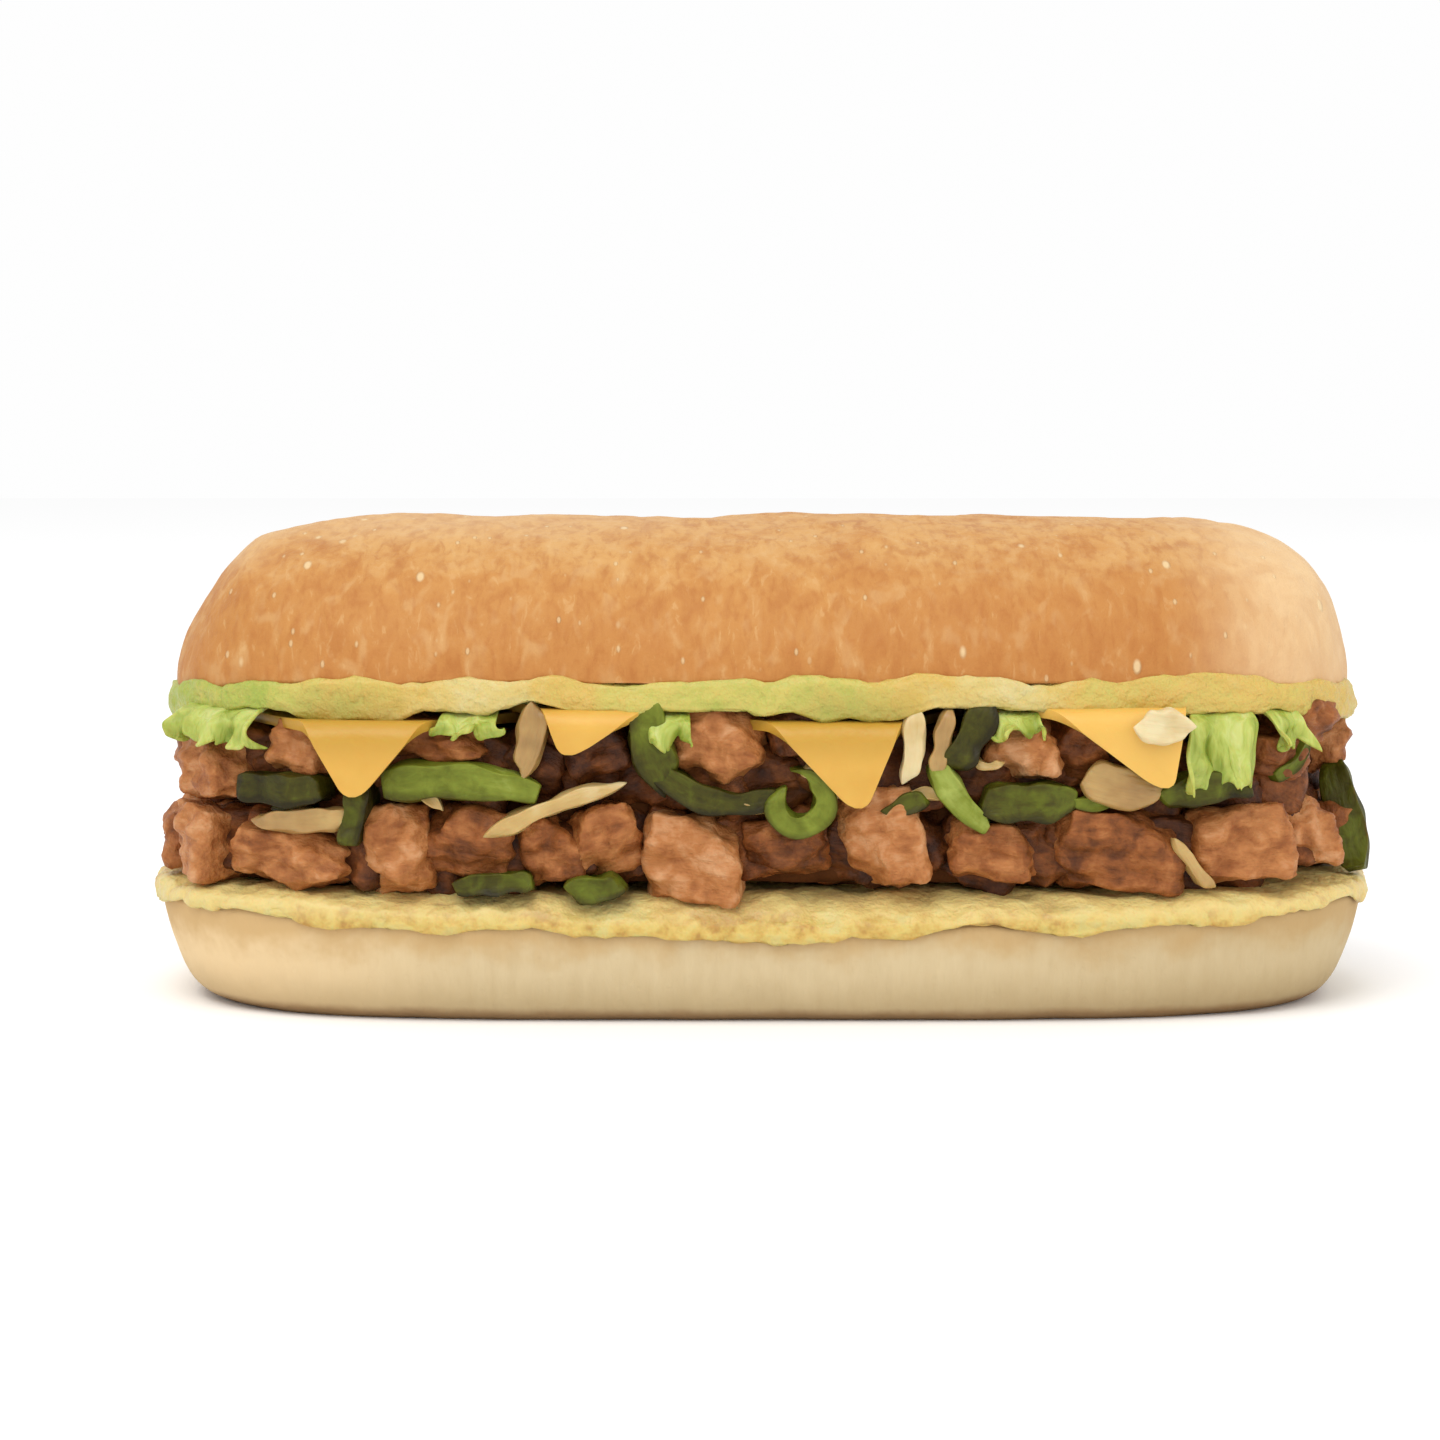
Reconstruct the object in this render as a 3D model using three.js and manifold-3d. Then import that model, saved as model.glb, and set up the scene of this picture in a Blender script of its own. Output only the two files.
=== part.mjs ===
// A six-inch submarine sandwich: a soft white roll cut right through, filled with chunks of
// grilled steak, green pepper, onion, corners of cheese and lettuce, with a yellow sauce spread
// on both cut faces. Its shape and the places of the pieces follow the side that faces the viewer.
//
// Millimetres. X runs along the roll, -Y faces the viewer, Z is up, and the roll stands on z = 0.
import * as THREE from "three";
import { mergeVertices } from "three/addons/utils/BufferGeometryUtils.js";
import Module from "manifold-3d";

const wasm = await Module();
wasm.setup();

// The roll
const ROLL_LENGTH = 162;
const ROLL_WIDTH = 70;
const SANDWICH_HEIGHT = 64;
const HEEL_RIM = 11.8; // height of the lower half's cut edge
const HEEL_CRUMB = 15.5; // height of the lower half's crumb in the middle
const HEEL_END_RISE = 3; // how much higher that edge is at the roll's ends
const HEEL_RISE_POWER = 1.2; // how late along the roll it rises
const CROWN_LENGTH = 157.4;
const CROWN_WIDTH = 69;
const CROWN_RIM = 43.8; // height of the upper half's cut edge
const CROWN_CRUMB = 44.9; // height of the upper half's crumb in the middle
const CROWN_END_DROOP = 2.3; // how much lower that edge is at the roll's ends
const CROWN_DROOP_POWER = 6;
const END_POWER = 4.6; // how square the roll's ends are, seen from above
const SIDE_POWER = 2.6; // how full its long sides are, seen from above
const DOME_END_POWER = 13; // how square the dome's right end is, seen from the side
const DOME_LENGTH_ROOT = 2.1;
const DOME_WIDTH_POWER = 2.2;
const DOME_WIDTH_ROOT = 2.1;
const CHAMFER_START = 0.864; // the dome's left end falls off early, from here to the end
const CHAMFER_HEIGHT = 0.92;
const CUT_POWER = 4; // how suddenly the crumb rises from the cut edge
// How far the lower half's side leans in at its foot, and how far the rounded foot goes in beyond that
const LEAN = { x: 4.8, y: 3.5, power: 1.6 };
const FOOT = { x: 2.6, y: 2, power: 12 };
const CRUST_RIPPLE = 0.35; // depth of the crust's slow bumps
const CUT_RIPPLE = 0.25;

// Half the length and width of each half of the roll, and what its cut face needs
const HEEL = {
  a: ROLL_LENGTH / 2, b: ROLL_WIDTH / 2, rim: HEEL_RIM, crumb: HEEL_CRUMB,
  endRise: HEEL_END_RISE, risePower: HEEL_RISE_POWER,
};
const CROWN = {
  a: CROWN_LENGTH / 2, b: CROWN_WIDTH / 2, rim: CROWN_RIM, crumb: CROWN_CRUMB,
  endRise: -CROWN_END_DROOP, risePower: CROWN_DROOP_POWER,
};

// The layers of the filling, from the bottom up
const GAP = 0.3; // clearance between pieces that touch
const CHEESE_GAP = 0.35; // a little more round the cheese, whose faces wave
const SAUCE_THICK = 1.5;
const PALE_SAUCE_THICK = 0.8; // the sauce under the upper half
const STEAK_LOW = 17.9;
const STEAK_TOP = 37.1;
const CHEESE_THICK = 1.3;
const CHEESE_LEVELS = [38.4, 40]; // middle of a slice that lies below its neighbours, and above
const LETTUCE_LOW = 41.2;
const LETTUCE_HIGH = 42.3;
const PROUD = 0.9; // how far strips of pepper and onion stand out of the roll's outline
const STRIP_BELLY = 0.06; // how far a strip's sides bulge, as a share of its depth
const HALF_TURN = 180; // in degrees
const RING_SHIFT = 0.6; // a strip curled past half a turn is placed lower by this share of its radius
const CORE_INSET_X = 9; // how far the bare cores stay inside the roll's outline
const CORE_INSET_Y = 6;
const LETTUCE_INSET_X = 11;
const LETTUCE_INSET_Y = 4.5;

// How finely things are divided
const AROUND = 36; // steps round the roll
const CUT_SHARES = [0.965, 0.88, 0.6, 0]; // rings of a cut face, as shares of the outline
const HEEL_WALL = [0, 0.06, 0.2, 0.55, 1]; // rings of the lower half's side, as shares of its height
const CRUST_SHARES = [1, 0.99, 0.955, 0.905, 0.84, 0.72, 0.42, 0];
const BLOCK_STEPS = 2;
const STRIP_STEPS = 3; // steps of a straight strip, and one more for each so many degrees of bend
const STRIP_DEGREES = 40;

// The lip of the lower sauce, from its top round to its underside: how far out of the roll's outline
// it is, how far above the cut edge, and how much of the local drip it hangs down
const SAUCE_LIP = [
  { out: 0.6, lift: 1, run: 0 },
  { out: 0.9, lift: 0.4, run: 0.4 },
  { out: 0.8, lift: 0.2, run: 0.9 },
  { out: 0.4, lift: 0.2, run: 1 },
  { out: GAP, lift: GAP, run: 0 },
];
const DRIP_LEAST = 0.2;
const DRIP_MORE = 1.4;
// The bead of the upper sauce, from its top to its underside: how far out and below the cut edge,
// how much of the local droop it hangs down, and to which side it grows
const BEAD = [
  { out: 0.8, drop: 0.55, run: 0, side: 1 },
  { out: 1, drop: 1.7, run: 0.8, side: 1 },
  { out: 0.2, drop: 2.1, run: 1, side: -1 },
];
const BEAD_DROOP = 0.9;
const BEAD_SAG = 1.2; // how much further it sags on to the lower slices of cheese
const BEAD_SAG_REACH = 9; // to this distance on both sides of a slice's middle
// Turns of the slow and the quick wave in how far the sauce runs, round the roll
const RUN_SLOW = { turns: 11, share: 0.32 };
const RUN_QUICK = { turns: 28, share: 0.18, phase: 2 };

// Steak chunks along the viewer's side: place along the roll, height of the middle, size, and the
// turn of the face in degrees
const STEAK_DEEP = 12;
const STEAK_FULL = 1.08; // makes up for the rounding of a chunk's corners
const BACK_CHUNK = 11; // the far side has chunks like those wider than this
const BACK_STRIP = 11; // and strips of pepper like those longer than this
const BACK_ONION_ROWS = [0, 1, 2, 4, 6]; // and strips of onion like those in these rows
const CHUNK_ROUND = [0, 1.04, 0.93, 0.8]; // reach of a chunk's face middles, edges and corners
const CHUNK_NOD = 9; // a chunk leans forward or back by up to so many degrees
const CHUNK_TWIST = 12; // and turns to either side by up to so many
const CHUNK_IN = [-0.1, 1.2]; // how far its face lies inside the roll's outline
const CHUNK_GROW = [0.88, 1.08]; // how far out or in its points are pushed
const CHUNK_SHIFT = 0.07;
const STEAK = [
  { x: -72, z: 32, wide: 11, high: 8.5, tilt: 6 },
  { x: -59.6, z: 34.5, wide: 9, high: 7, tilt: -10 },
  { x: -41, z: 36, wide: 13, high: 6.5, tilt: -6 },
  { x: -21, z: 35.4, wide: 9.5, high: 8.5, tilt: 20 },
  { x: -5, z: 35.4, wide: 11.5, high: 10, tilt: -5 },
  { x: 4.5, z: 37, wide: 8, high: 7, tilt: 12 },
  { x: 33, z: 35.6, wide: 9.5, high: 9.5, tilt: 8 },
  { x: 40.5, z: 35, wide: 8, high: 8, tilt: -12 },
  { x: 68, z: 33.4, wide: 10.5, high: 7, tilt: 4 },
  { x: 72, z: 38, wide: 9.5, high: 6, tilt: -8 },
  { x: -75, z: 21.7, wide: 10, high: 10, tilt: -5 },
  { x: -61, z: 21, wide: 17, high: 8, tilt: -3 },
  { x: -47.3, z: 22.2, wide: 9.5, high: 12, tilt: 5 },
  { x: -37.5, z: 22.8, wide: 11.5, high: 9.5, tilt: -12 },
  { x: -27.5, z: 22.2, wide: 8, high: 9, tilt: 8 },
  { x: -20.4, z: 23.4, wide: 9.5, high: 9.5, tilt: 15 },
  { x: -8.8, z: 21.2, wide: 13, high: 12, tilt: -4 },
  { x: 3, z: 22.6, wide: 11.5, high: 8, tilt: 6 },
  { x: 15.2, z: 23.8, wide: 10.5, high: 13.5, tilt: 10 },
  { x: 29.8, z: 22.4, wide: 12.5, high: 8, tilt: -6 },
  { x: 45.8, z: 22.4, wide: 17, high: 11, tilt: -4 },
  { x: 63, z: 22.4, wide: 13.5, high: 10, tilt: 3 },
  { x: 73, z: 23.6, wide: 8.5, high: 9.5, tilt: -6 },
];
// Steak chunks across each end of the roll
const END_STEAK = [
  { y: -9, z: 22.5, wide: 13, high: 9.5, tilt: 6 },
  { y: 8, z: 22.5, wide: 15, high: 10, tilt: -5 },
  { y: -4, z: 33.5, wide: 15, high: 9, tilt: -5 },
  { y: 13, z: 34, wide: 12, high: 8.5, tilt: 9 },
];

// Green pepper along the viewer's side: long is measured along the strip, bend is how far it
// curls (a smile is positive), and deep runs into the sandwich
const PEPPER = [
  { x: -62, z: 29.8, long: 12, thick: 4, deep: 6, bend: 15, tilt: 0 },
  { x: -38.5, z: 31.4, long: 20, thick: 4.6, deep: 5, bend: -26, tilt: -3 },
  { x: -51.9, z: 27.4, long: 9, thick: 3.2, deep: 6, bend: 20, tilt: 80 },
  { x: -14.4, z: 36.2, long: 12, thick: 4.6, deep: 5, bend: 30, tilt: -76 },
  { x: -7.3, z: 29, long: 18, thick: 3.2, deep: 6, bend: 75, tilt: -16 },
  { x: 5.2, z: 27.6, long: 17, thick: 3, deep: 6, bend: 290, tilt: 30 },
  { x: 24.4, z: 29, long: 11, thick: 3.2, deep: 5, bend: 30, tilt: -52 },
  { x: 33.6, z: 28.6, long: 12, thick: 4.6, deep: 6, bend: 12, tilt: 0 },
  { x: 56.4, z: 30.4, long: 12, thick: 4, deep: 5, bend: -25, tilt: 8 },
  { end: 1, y: -13, z: 24.2, long: 14, thick: 4, deep: 5, bend: -25, tilt: 84 },
  { x: -21.4, z: 17.6, long: 7, thick: 3.2, deep: 5, bend: 10, tilt: 8 },
  { x: -34.4, z: 18.2, long: 10, thick: 2.8, deep: 5, bend: -12, tilt: 5 },
  { x: 26.2, z: 36.8, long: 9, thick: 3.8, deep: 5, bend: 25, tilt: 62 },
];

// Grilled onion along the viewer's side; proud is how far a piece that lies on the cheese stands out
const ONION = [
  { x: -29.4, z: 36.6, long: 9, thick: 4, deep: 3, bend: 25, tilt: 76 },
  { x: -26.8, z: 28.2, long: 18, thick: 2.4, deep: 4, bend: -16, tilt: 22 },
  { x: 18.8, z: 36, long: 9.5, thick: 2.8, deep: 3, bend: 15, tilt: 86 },
  { x: 45.4, z: 30.6, long: 10, thick: 5.6, deep: 3, bend: 15, tilt: -12 },
  { x: 49.6, z: 38.6, long: 7, thick: 4.4, deep: 1.5, bend: 10, tilt: -6, proud: 5 },
  { x: 54.8, z: 20.4, long: 8, thick: 2.2, deep: 4, bend: 15, tilt: -54 },
  { x: -59, z: 26, long: 13, thick: 3.4, deep: 4, bend: 10, tilt: 2 },
  { x: 22.4, z: 36.4, long: 8.5, thick: 2.4, deep: 3, bend: -20, tilt: 80 },
];

// Slices of cheese laid across the sandwich, with one corner hanging over each side: place along
// the roll, how far the corners hang, level, and how fast a corner widens to each side of its tip
const CHEESE = [
  { x: -52, hang: 10.1, level: 0, left: 0.55, right: 0.85 },
  { x: -24.6, hang: 6.3, level: 1, left: 0.4, right: 1.5 },
  { x: 11.9, hang: 11.5, level: 0, left: 0.95, right: 0.4 },
  { x: 50.5, hang: 10.5, level: 1, left: 1.35, right: 0.15 },
];
const CHEESE_TIP = 1.2; // half the width of a rounded tip
const CHEESE_HALF = 24; // half the width of a slice where its neighbours cover it
const CHEESE_OUT = 1.3; // how far a hanging corner stands off the roll's outline
const CHEESE_FOLD = 2.2; // radius of the fold over the edge
const CHEESE_WAVE = 0.35; // depth of the slow wave in a hanging corner
const CHEESE_WAVE_TURN = 0.3; // how quickly it goes up and down, in radians for a millimetre
const CHEESE_ACROSS = 3;

// Lettuce leaves that show at the viewer's side: middle, width and how far they hang
const LETTUCE = [
  { x: -69, wide: 15, hang: 3 },
  { x: -37, wide: 8, hang: 2.2 },
  { x: -12.6, wide: 8, hang: 2.6 },
  { x: 31.5, wide: 8, hang: 1.6 },
  { x: 58, wide: 10, hang: 8.6 },
  { x: 66.5, wide: 6, hang: 3.6 },
];
const BACK_LETTUCE = [
  { x: -70, wide: 12, hang: 5 },
  { x: -30, wide: 12, hang: 3 },
  { x: 36, wide: 11, hang: 4 },
  { x: 71, wide: 7, hang: 4 },
];
const LEAF_THICK = 0.9;
const LEAF_REACH = 11; // how far a leaf lies inside the roll's outline
const LEAF_RUFFLE = 1.3;
const LEAF_DIP = 2.2; // how far a leaf dips under the sauce at the edge
const LEAF_LIFT = 0.4; // how far a ruffle that goes in also goes up, as a share
const LEAF_TURN = 0.85; // how quickly a ruffle goes in and out, in radians for a millimetre
const LEAF_ROOT = 0.75; // width of a leaf where it starts, as a share of its width at the tip
const LEAF_PHASE = 1.3; // where a leaf's ruffle starts, in radians for a millimetre along the roll
const LEAF_CREST = 1.2; // how far below its dip a leaf turns down
const LEAF_STEP = 2.6; // distance between a leaf's points
// Rows of a leaf from the part that lies inside to the hanging tip: place into the roll, drop, and
// how much of the leaf's hang is added
const LEAF_ROWS = [
  { inside: LEAF_REACH, drop: 0, hang: 0 },
  { inside: 0.5, drop: LEAF_DIP, hang: 0 },
  { inside: -0.9, drop: LEAF_DIP + LEAF_CREST, hang: 0, loose: true },
  { inside: -1.4, drop: LEAF_DIP, hang: 1, loose: true },
];

// A seeded draw, the same on every run
let seed = 20;
function draw(low, high) {
  seed = (seed * 1103515245 + 12345) % 2147483648;
  return low + ((high - low) * seed) / 2147483648;
}

const radians = (degrees) => THREE.MathUtils.degToRad(degrees);
const { smoothstep } = THREE.MathUtils;

// How full the roll is above a point of its plan: 1 in the middle, 0 on the outline
function fullness(x, y, halfLength, halfWidth) {
  const used = Math.abs(x / halfLength) ** END_POWER + Math.abs(y / halfWidth) ** SIDE_POWER;
  return Math.max(0, 1 - used);
}

// The height at which the cut goes through the crust, without its ripple
const edgeHeight = (x, half) => half.rim + half.endRise * Math.abs(x / half.a) ** half.risePower;

// The height of a cut face: a steep rise from the crust, then nearly flat crumb
function cutHeight(x, y, half) {
  const full = 1 - (1 - fullness(x, y, half.a, half.b)) ** CUT_POWER;
  const edge = edgeHeight(x, half);
  return edge + (half.crumb - edge) * full + cutRipple(x, y);
}

// The height of the crown's crust above its cut edge, as a share of the full height
function domeHeight(x, y) {
  const t = Math.min(1, Math.abs(x / CROWN.a));
  let lengthwise = (1 - t ** DOME_END_POWER) ** (1 / DOME_LENGTH_ROOT);
  if (x < 0) {
    const slope = CHAMFER_HEIGHT * Math.sqrt((1 - t) / (1 - CHAMFER_START));
    lengthwise = Math.min(lengthwise, slope);
  }
  const halfAcross = CROWN.b * (1 - t ** END_POWER) ** (1 / SIDE_POWER);
  const across = halfAcross > 0 ? Math.min(1, Math.abs(y) / halfAcross) : 1;
  const crosswise = (1 - across ** DOME_WIDTH_POWER) ** (1 / DOME_WIDTH_ROOT);
  return y === 0 ? lengthwise : lengthwise * crosswise;
}

// The point of the roll's outline, seen from above, that lies at an angle from the middle
function outlineAt(angle, halfLength, halfWidth) {
  const [c, s] = [Math.cos(angle), Math.sin(angle)];
  let [low, high] = [0.5, 2];
  for (let i = 0; i < 40; i++) {
    const middle = (low + high) / 2;
    if (fullness(c * middle, s * middle, 1, 1) > 0) low = middle;
    else high = middle;
  }
  return { x: halfLength * c * low, y: halfWidth * s * low };
}

// A slow, irregular ripple between about -1 and 1
function ripple(x, y) {
  return 0.5 * Math.sin(x * 0.11 + y * 0.07) + 0.3 * Math.sin(x * 0.23 - y * 0.19 + 1.7)
    + 0.2 * Math.sin(x * 0.41 + y * 0.31 + 0.6);
}

// The shallower and quicker ripple of the cut faces
const cutRipple = (x, y) => CUT_RIPPLE * ripple(2 * x, 2 * y);

// A geometry as a solid with merged vertices and its faces pointing out
function toSolid(geometry) {
  geometry.deleteAttribute("normal");
  geometry.deleteAttribute("uv");
  const merged = mergeVertices(geometry, 1e-3);
  const make = (triVerts) => new wasm.Manifold(new wasm.Mesh({
    numProp: 3,
    vertProperties: merged.getAttribute("position").array,
    triVerts,
  }));
  const corners = new Uint32Array(merged.index.array);
  const made = make(corners);
  return made.volume() > 0 ? made : make(corners.reverse());
}

// Moves every vertex of a geometry by a rule
function reshape(geometry, rule) {
  const position = geometry.getAttribute("position");
  const point = new THREE.Vector3();
  for (let i = 0; i < position.count; i++) {
    point.fromBufferAttribute(position, i);
    rule(point, i);
    position.setXYZ(i, point.x, point.y, point.z);
  }
  return geometry;
}

// A solid turned round the roll: a ring for each entry, placed at every angle by a rule. The first
// and the last ring shrink to a point.
function ringSolid(rings, place) {
  const profile = rings.map((ring, j) => new THREE.Vector2(ring.share, j));
  const lathe = new THREE.LatheGeometry(profile, AROUND);
  return toSolid(reshape(lathe, (point, i) => {
    const step = Math.floor(i / rings.length) % AROUND;
    const angle = (step / AROUND) * 2 * Math.PI;
    place(point, angle, rings[i % rings.length]);
  }));
}

// A thin solid with two like-split faces: place sets the point at u, v of the lower or upper face
function sheetSolid(across, along, place) {
  const flat = new THREE.PlaneGeometry(1, 1, across, along);
  const face = Array.from(flat.index.array);
  const count = (across + 1) * (along + 1);
  const index = [...face, ...face.map((k) => k + count).reverse()];
  const row = across + 1;
  const wall = (a, b) => index.push(a, b, a + count, b, b + count, a + count);
  for (let i = 0; i < across; i++) {
    wall(i, i + 1);
    wall(along * row + i + 1, along * row + i);
  }
  for (let j = 0; j < along; j++) {
    wall((j + 1) * row, j * row);
    wall(j * row + across, (j + 1) * row + across);
  }
  const points = new Float32Array(count * 6);
  const point = new THREE.Vector3();
  for (let k = 0; k < count; k++) {
    const [u, v] = [(k % row) / across, Math.floor(k / row) / along];
    [1, -1].forEach((side, layer) => {
      place(point, u, v, side);
      point.toArray(points, (k + layer * count) * 3);
    });
  }
  const sheet = new THREE.BufferGeometry();
  sheet.setAttribute("position", new THREE.BufferAttribute(points, 3));
  sheet.setIndex(index);
  return toSolid(sheet);
}

// The largest body of a solid, without the scraps that a cut leaves
function largest(solid) {
  return solid.decompose().reduce((a, b) => (a.volume() > b.volume() ? a : b));
}

// A place on the roll's edge, as a matrix: X along the edge, Y into the roll and Z up. A spot has x
// on the viewer's side, or y on the end that end names; half turns it round to the other side.
function edgeFrame(spot) {
  const { a, b } = HEEL;
  let [x, y] = [spot.x, 0];
  if (spot.end) {
    y = spot.y;
    x = spot.end * a * (1 - Math.abs(y / b) ** SIDE_POWER) ** (1 / END_POWER);
  } else {
    y = -b * (1 - Math.abs(x / a) ** END_POWER) ** (1 / SIDE_POWER);
  }
  const slope = (t, half, power) => (power * Math.sign(t) * Math.abs(t / half) ** (power - 1)) / half;
  const inward = new THREE.Vector3(-slope(x, a, END_POWER), -slope(y, b, SIDE_POWER), 0).normalize();
  const up = new THREE.Vector3(0, 0, 1);
  const along = new THREE.Vector3().crossVectors(inward, up);
  const frame = new THREE.Matrix4().makeBasis(along, inward, up).setPosition(x, y, spot.z ?? 0);
  return spot.half ? new THREE.Matrix4().makeRotationZ(Math.PI).multiply(frame) : frame;
}

// The same spots turned half round, for the side away from the viewer
const halfTurned = (spots) => spots.map((spot) => ({ ...spot, half: true }));

// The lower half of the roll: flat base, rounded side, cut face
function heelSolid() {
  const wall = HEEL_WALL.map((height) => ({ share: 1, height }));
  const cut = CUT_SHARES.map((share) => ({ share, height: 1, cut: true }));
  return ringSolid([{ share: 0, height: 0 }, ...wall, ...cut], (point, angle, ring) => {
    const edge = outlineAt(angle, HEEL.a, HEEL.b);
    const [lean, foot] = [LEAN, FOOT].map((part) => (1 - ring.height) ** part.power);
    const x = edge.x * ring.share * (1 - (lean * LEAN.x + foot * FOOT.x) / HEEL.a);
    const y = edge.y * ring.share * (1 - (lean * LEAN.y + foot * FOOT.y) / HEEL.b);
    const rim = cutHeight(edge.x, edge.y, HEEL);
    point.set(x, y, ring.cut ? cutHeight(x, y, HEEL) : rim * ring.height);
  });
}

// The upper half of the roll: cut face below, domed crust above
function crownSolid() {
  const cut = CUT_SHARES.toReversed().map((share) => ({ share, cut: true }));
  const crust = CRUST_SHARES.map((share) => ({ share }));
  return ringSolid([...cut, ...crust], (point, angle, ring) => {
    const edge = outlineAt(angle, CROWN.a, CROWN.b);
    const [x, y] = [edge.x * ring.share, edge.y * ring.share];
    const full = SANDWICH_HEIGHT - CROWN_RIM + CRUST_RIPPLE * ripple(x, y);
    const rise = ring.share === 1 ? 0 : full * domeHeight(x, y);
    const crust = edgeHeight(x, CROWN) + cutRipple(x, y) + rise;
    point.set(x, y, ring.cut ? cutHeight(x, y, CROWN) : crust);
  });
}

// How far the sauce runs over an edge at an angle, as a share of its furthest run
function wavyRun(angle) {
  const slow = RUN_SLOW.share * Math.sin(angle * RUN_SLOW.turns);
  return 0.5 + slow + RUN_QUICK.share * Math.sin(angle * RUN_QUICK.turns + RUN_QUICK.phase);
}

// The sauce on the lower half: over the crumb and in slow drops over its edge; grow makes it fatter
function lowerSauceSolid(grow = 0) {
  const over = CUT_SHARES.toReversed().map((share) => ({ share, lift: SAUCE_THICK + grow }));
  const under = CUT_SHARES.map((share) => ({ share, lift: GAP }));
  return ringSolid([...over, ...SAUCE_LIP, ...under], (point, angle, ring) => {
    const edge = outlineAt(angle, HEEL.a, HEEL.b);
    if (ring.out) {
      const drip = DRIP_LEAST + DRIP_MORE * wavyRun(angle);
      const grown = 1 + (ring.out + grow) / Math.hypot(edge.x, edge.y);
      const rim = cutHeight(edge.x, edge.y, HEEL);
      point.set(edge.x * grown, edge.y * grown, rim + ring.lift - ring.run * drip);
      return;
    }
    const [x, y] = [edge.x * ring.share, edge.y * ring.share];
    point.set(x, y, cutHeight(x, y, HEEL) + ring.lift);
  });
}

// How far the upper sauce sags where a low slice of cheese leaves room under it
function sag(x) {
  const near = CHEESE.filter((slice) => slice.level === 0).map((slice) => Math.abs(x - slice.x));
  return BEAD_SAG * (1 - smoothstep(Math.min(...near), BEAD_SAG_REACH / 2, BEAD_SAG_REACH));
}

// The sauce under the upper half: thin inside, a rounded bead along the edge; grow makes it fatter
function upperSauceSolid(grow = 0) {
  const over = [1, ...CUT_SHARES].toReversed().map((share) => ({ share, drop: GAP }));
  const bead = BEAD.map((ring) => ({ share: 1, ...ring }));
  const under = CUT_SHARES.map((share) => ({ share, drop: GAP + PALE_SAUCE_THICK + grow }));
  return ringSolid([...over, ...bead, ...under], (point, angle, ring) => {
    const edge = outlineAt(angle, CROWN.a, CROWN.b);
    const [x, y] = [edge.x * ring.share, edge.y * ring.share];
    const length = Math.hypot(x, y) || 1;
    const out = ring.out ? ring.out + ring.side * grow : 0;
    const droop = ring.run ? ring.run * (BEAD_DROOP * wavyRun(angle) + sag(x)) + grow : 0;
    const z = cutHeight(x, y, CROWN) - ring.drop - droop;
    point.set(x + (x / length) * out, y + (y / length) * out, z);
  });
}

// A flat core between two heights, inside the roll's outline
function coreSolid(low, high, insetX, insetY) {
  const rings = [{ share: 0, z: low }, { share: 1, z: low }, { share: 1, z: high }, { share: 0, z: high }];
  return ringSolid(rings, (point, angle, ring) => {
    const edge = outlineAt(angle, HEEL.a - insetX, HEEL.b - insetY);
    point.set(edge.x * ring.share, edge.y * ring.share, ring.z);
  });
}

// An irregular chunk of meat: a block with rounded edges and uneven faces
function chunkSolid(spot) {
  const { wide, high, tilt, deep = STEAK_DEEP } = spot;
  const block = new THREE.BoxGeometry(2, 2, 2, BLOCK_STEPS, BLOCK_STEPS, BLOCK_STEPS);
  const uneven = new Map();
  const frame = edgeFrame(spot);
  const either = (most) => radians(draw(-most, most));
  const turn = new THREE.Matrix4().makeRotationFromEuler(
    new THREE.Euler(either(CHUNK_NOD), radians(-tilt), either(CHUNK_TWIST)),
  );
  const lift = new THREE.Matrix4().makeTranslation(0, deep / 2 + draw(...CHUNK_IN), 0);
  const pose = frame.multiply(lift).multiply(turn);
  return toSolid(reshape(block, (point) => {
    const key = point.toArray().join();
    if (!uneven.has(key)) uneven.set(key, [draw(...CHUNK_GROW), draw(-CHUNK_SHIFT, CHUNK_SHIFT)]);
    const [grow, shift] = uneven.get(key);
    const outer = Math.abs(point.x) + Math.abs(point.y) + Math.abs(point.z);
    const round = CHUNK_ROUND[Math.round(outer)];
    point.multiplyScalar(STEAK_FULL * round * grow).addScalar(shift);
    point.set((point.x * wide) / 2, (point.y * deep) / 2, (point.z * high) / 2);
    point.applyMatrix4(pose);
  }));
}

// A bent strip, as of pepper or onion, lying along the roll's edge; grow makes it fatter all round
function stripSolid(spot, grow = 0) {
  const { long, thick, deep, bend, tilt, proud = PROUD } = spot;
  const steps = STRIP_STEPS + Math.round(Math.abs(bend) / STRIP_DEGREES);
  const strip = new THREE.BoxGeometry(long + 2 * grow, deep + 2 * grow, thick + 2 * grow, steps, 1, 2);
  const turn = new THREE.Matrix4().makeRotationY(radians(-tilt));
  const lift = new THREE.Matrix4().makeTranslation(0, deep / 2 - proud, 0);
  const pose = edgeFrame(spot).multiply(lift).multiply(turn);
  const curl = radians(bend);
  const radius = long / curl;
  return toSolid(reshape(strip, (point) => {
    if (point.z === 0) point.y += Math.sign(point.y) * STRIP_BELLY * deep;
    const angle = point.x / radius;
    const reach = radius - point.z;
    point.set(reach * Math.sin(angle), point.y, radius - reach * Math.cos(angle));
    if (Math.abs(bend) > HALF_TURN) point.z -= radius * RING_SHIFT;
    point.applyMatrix4(pose);
  }));
}

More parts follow.
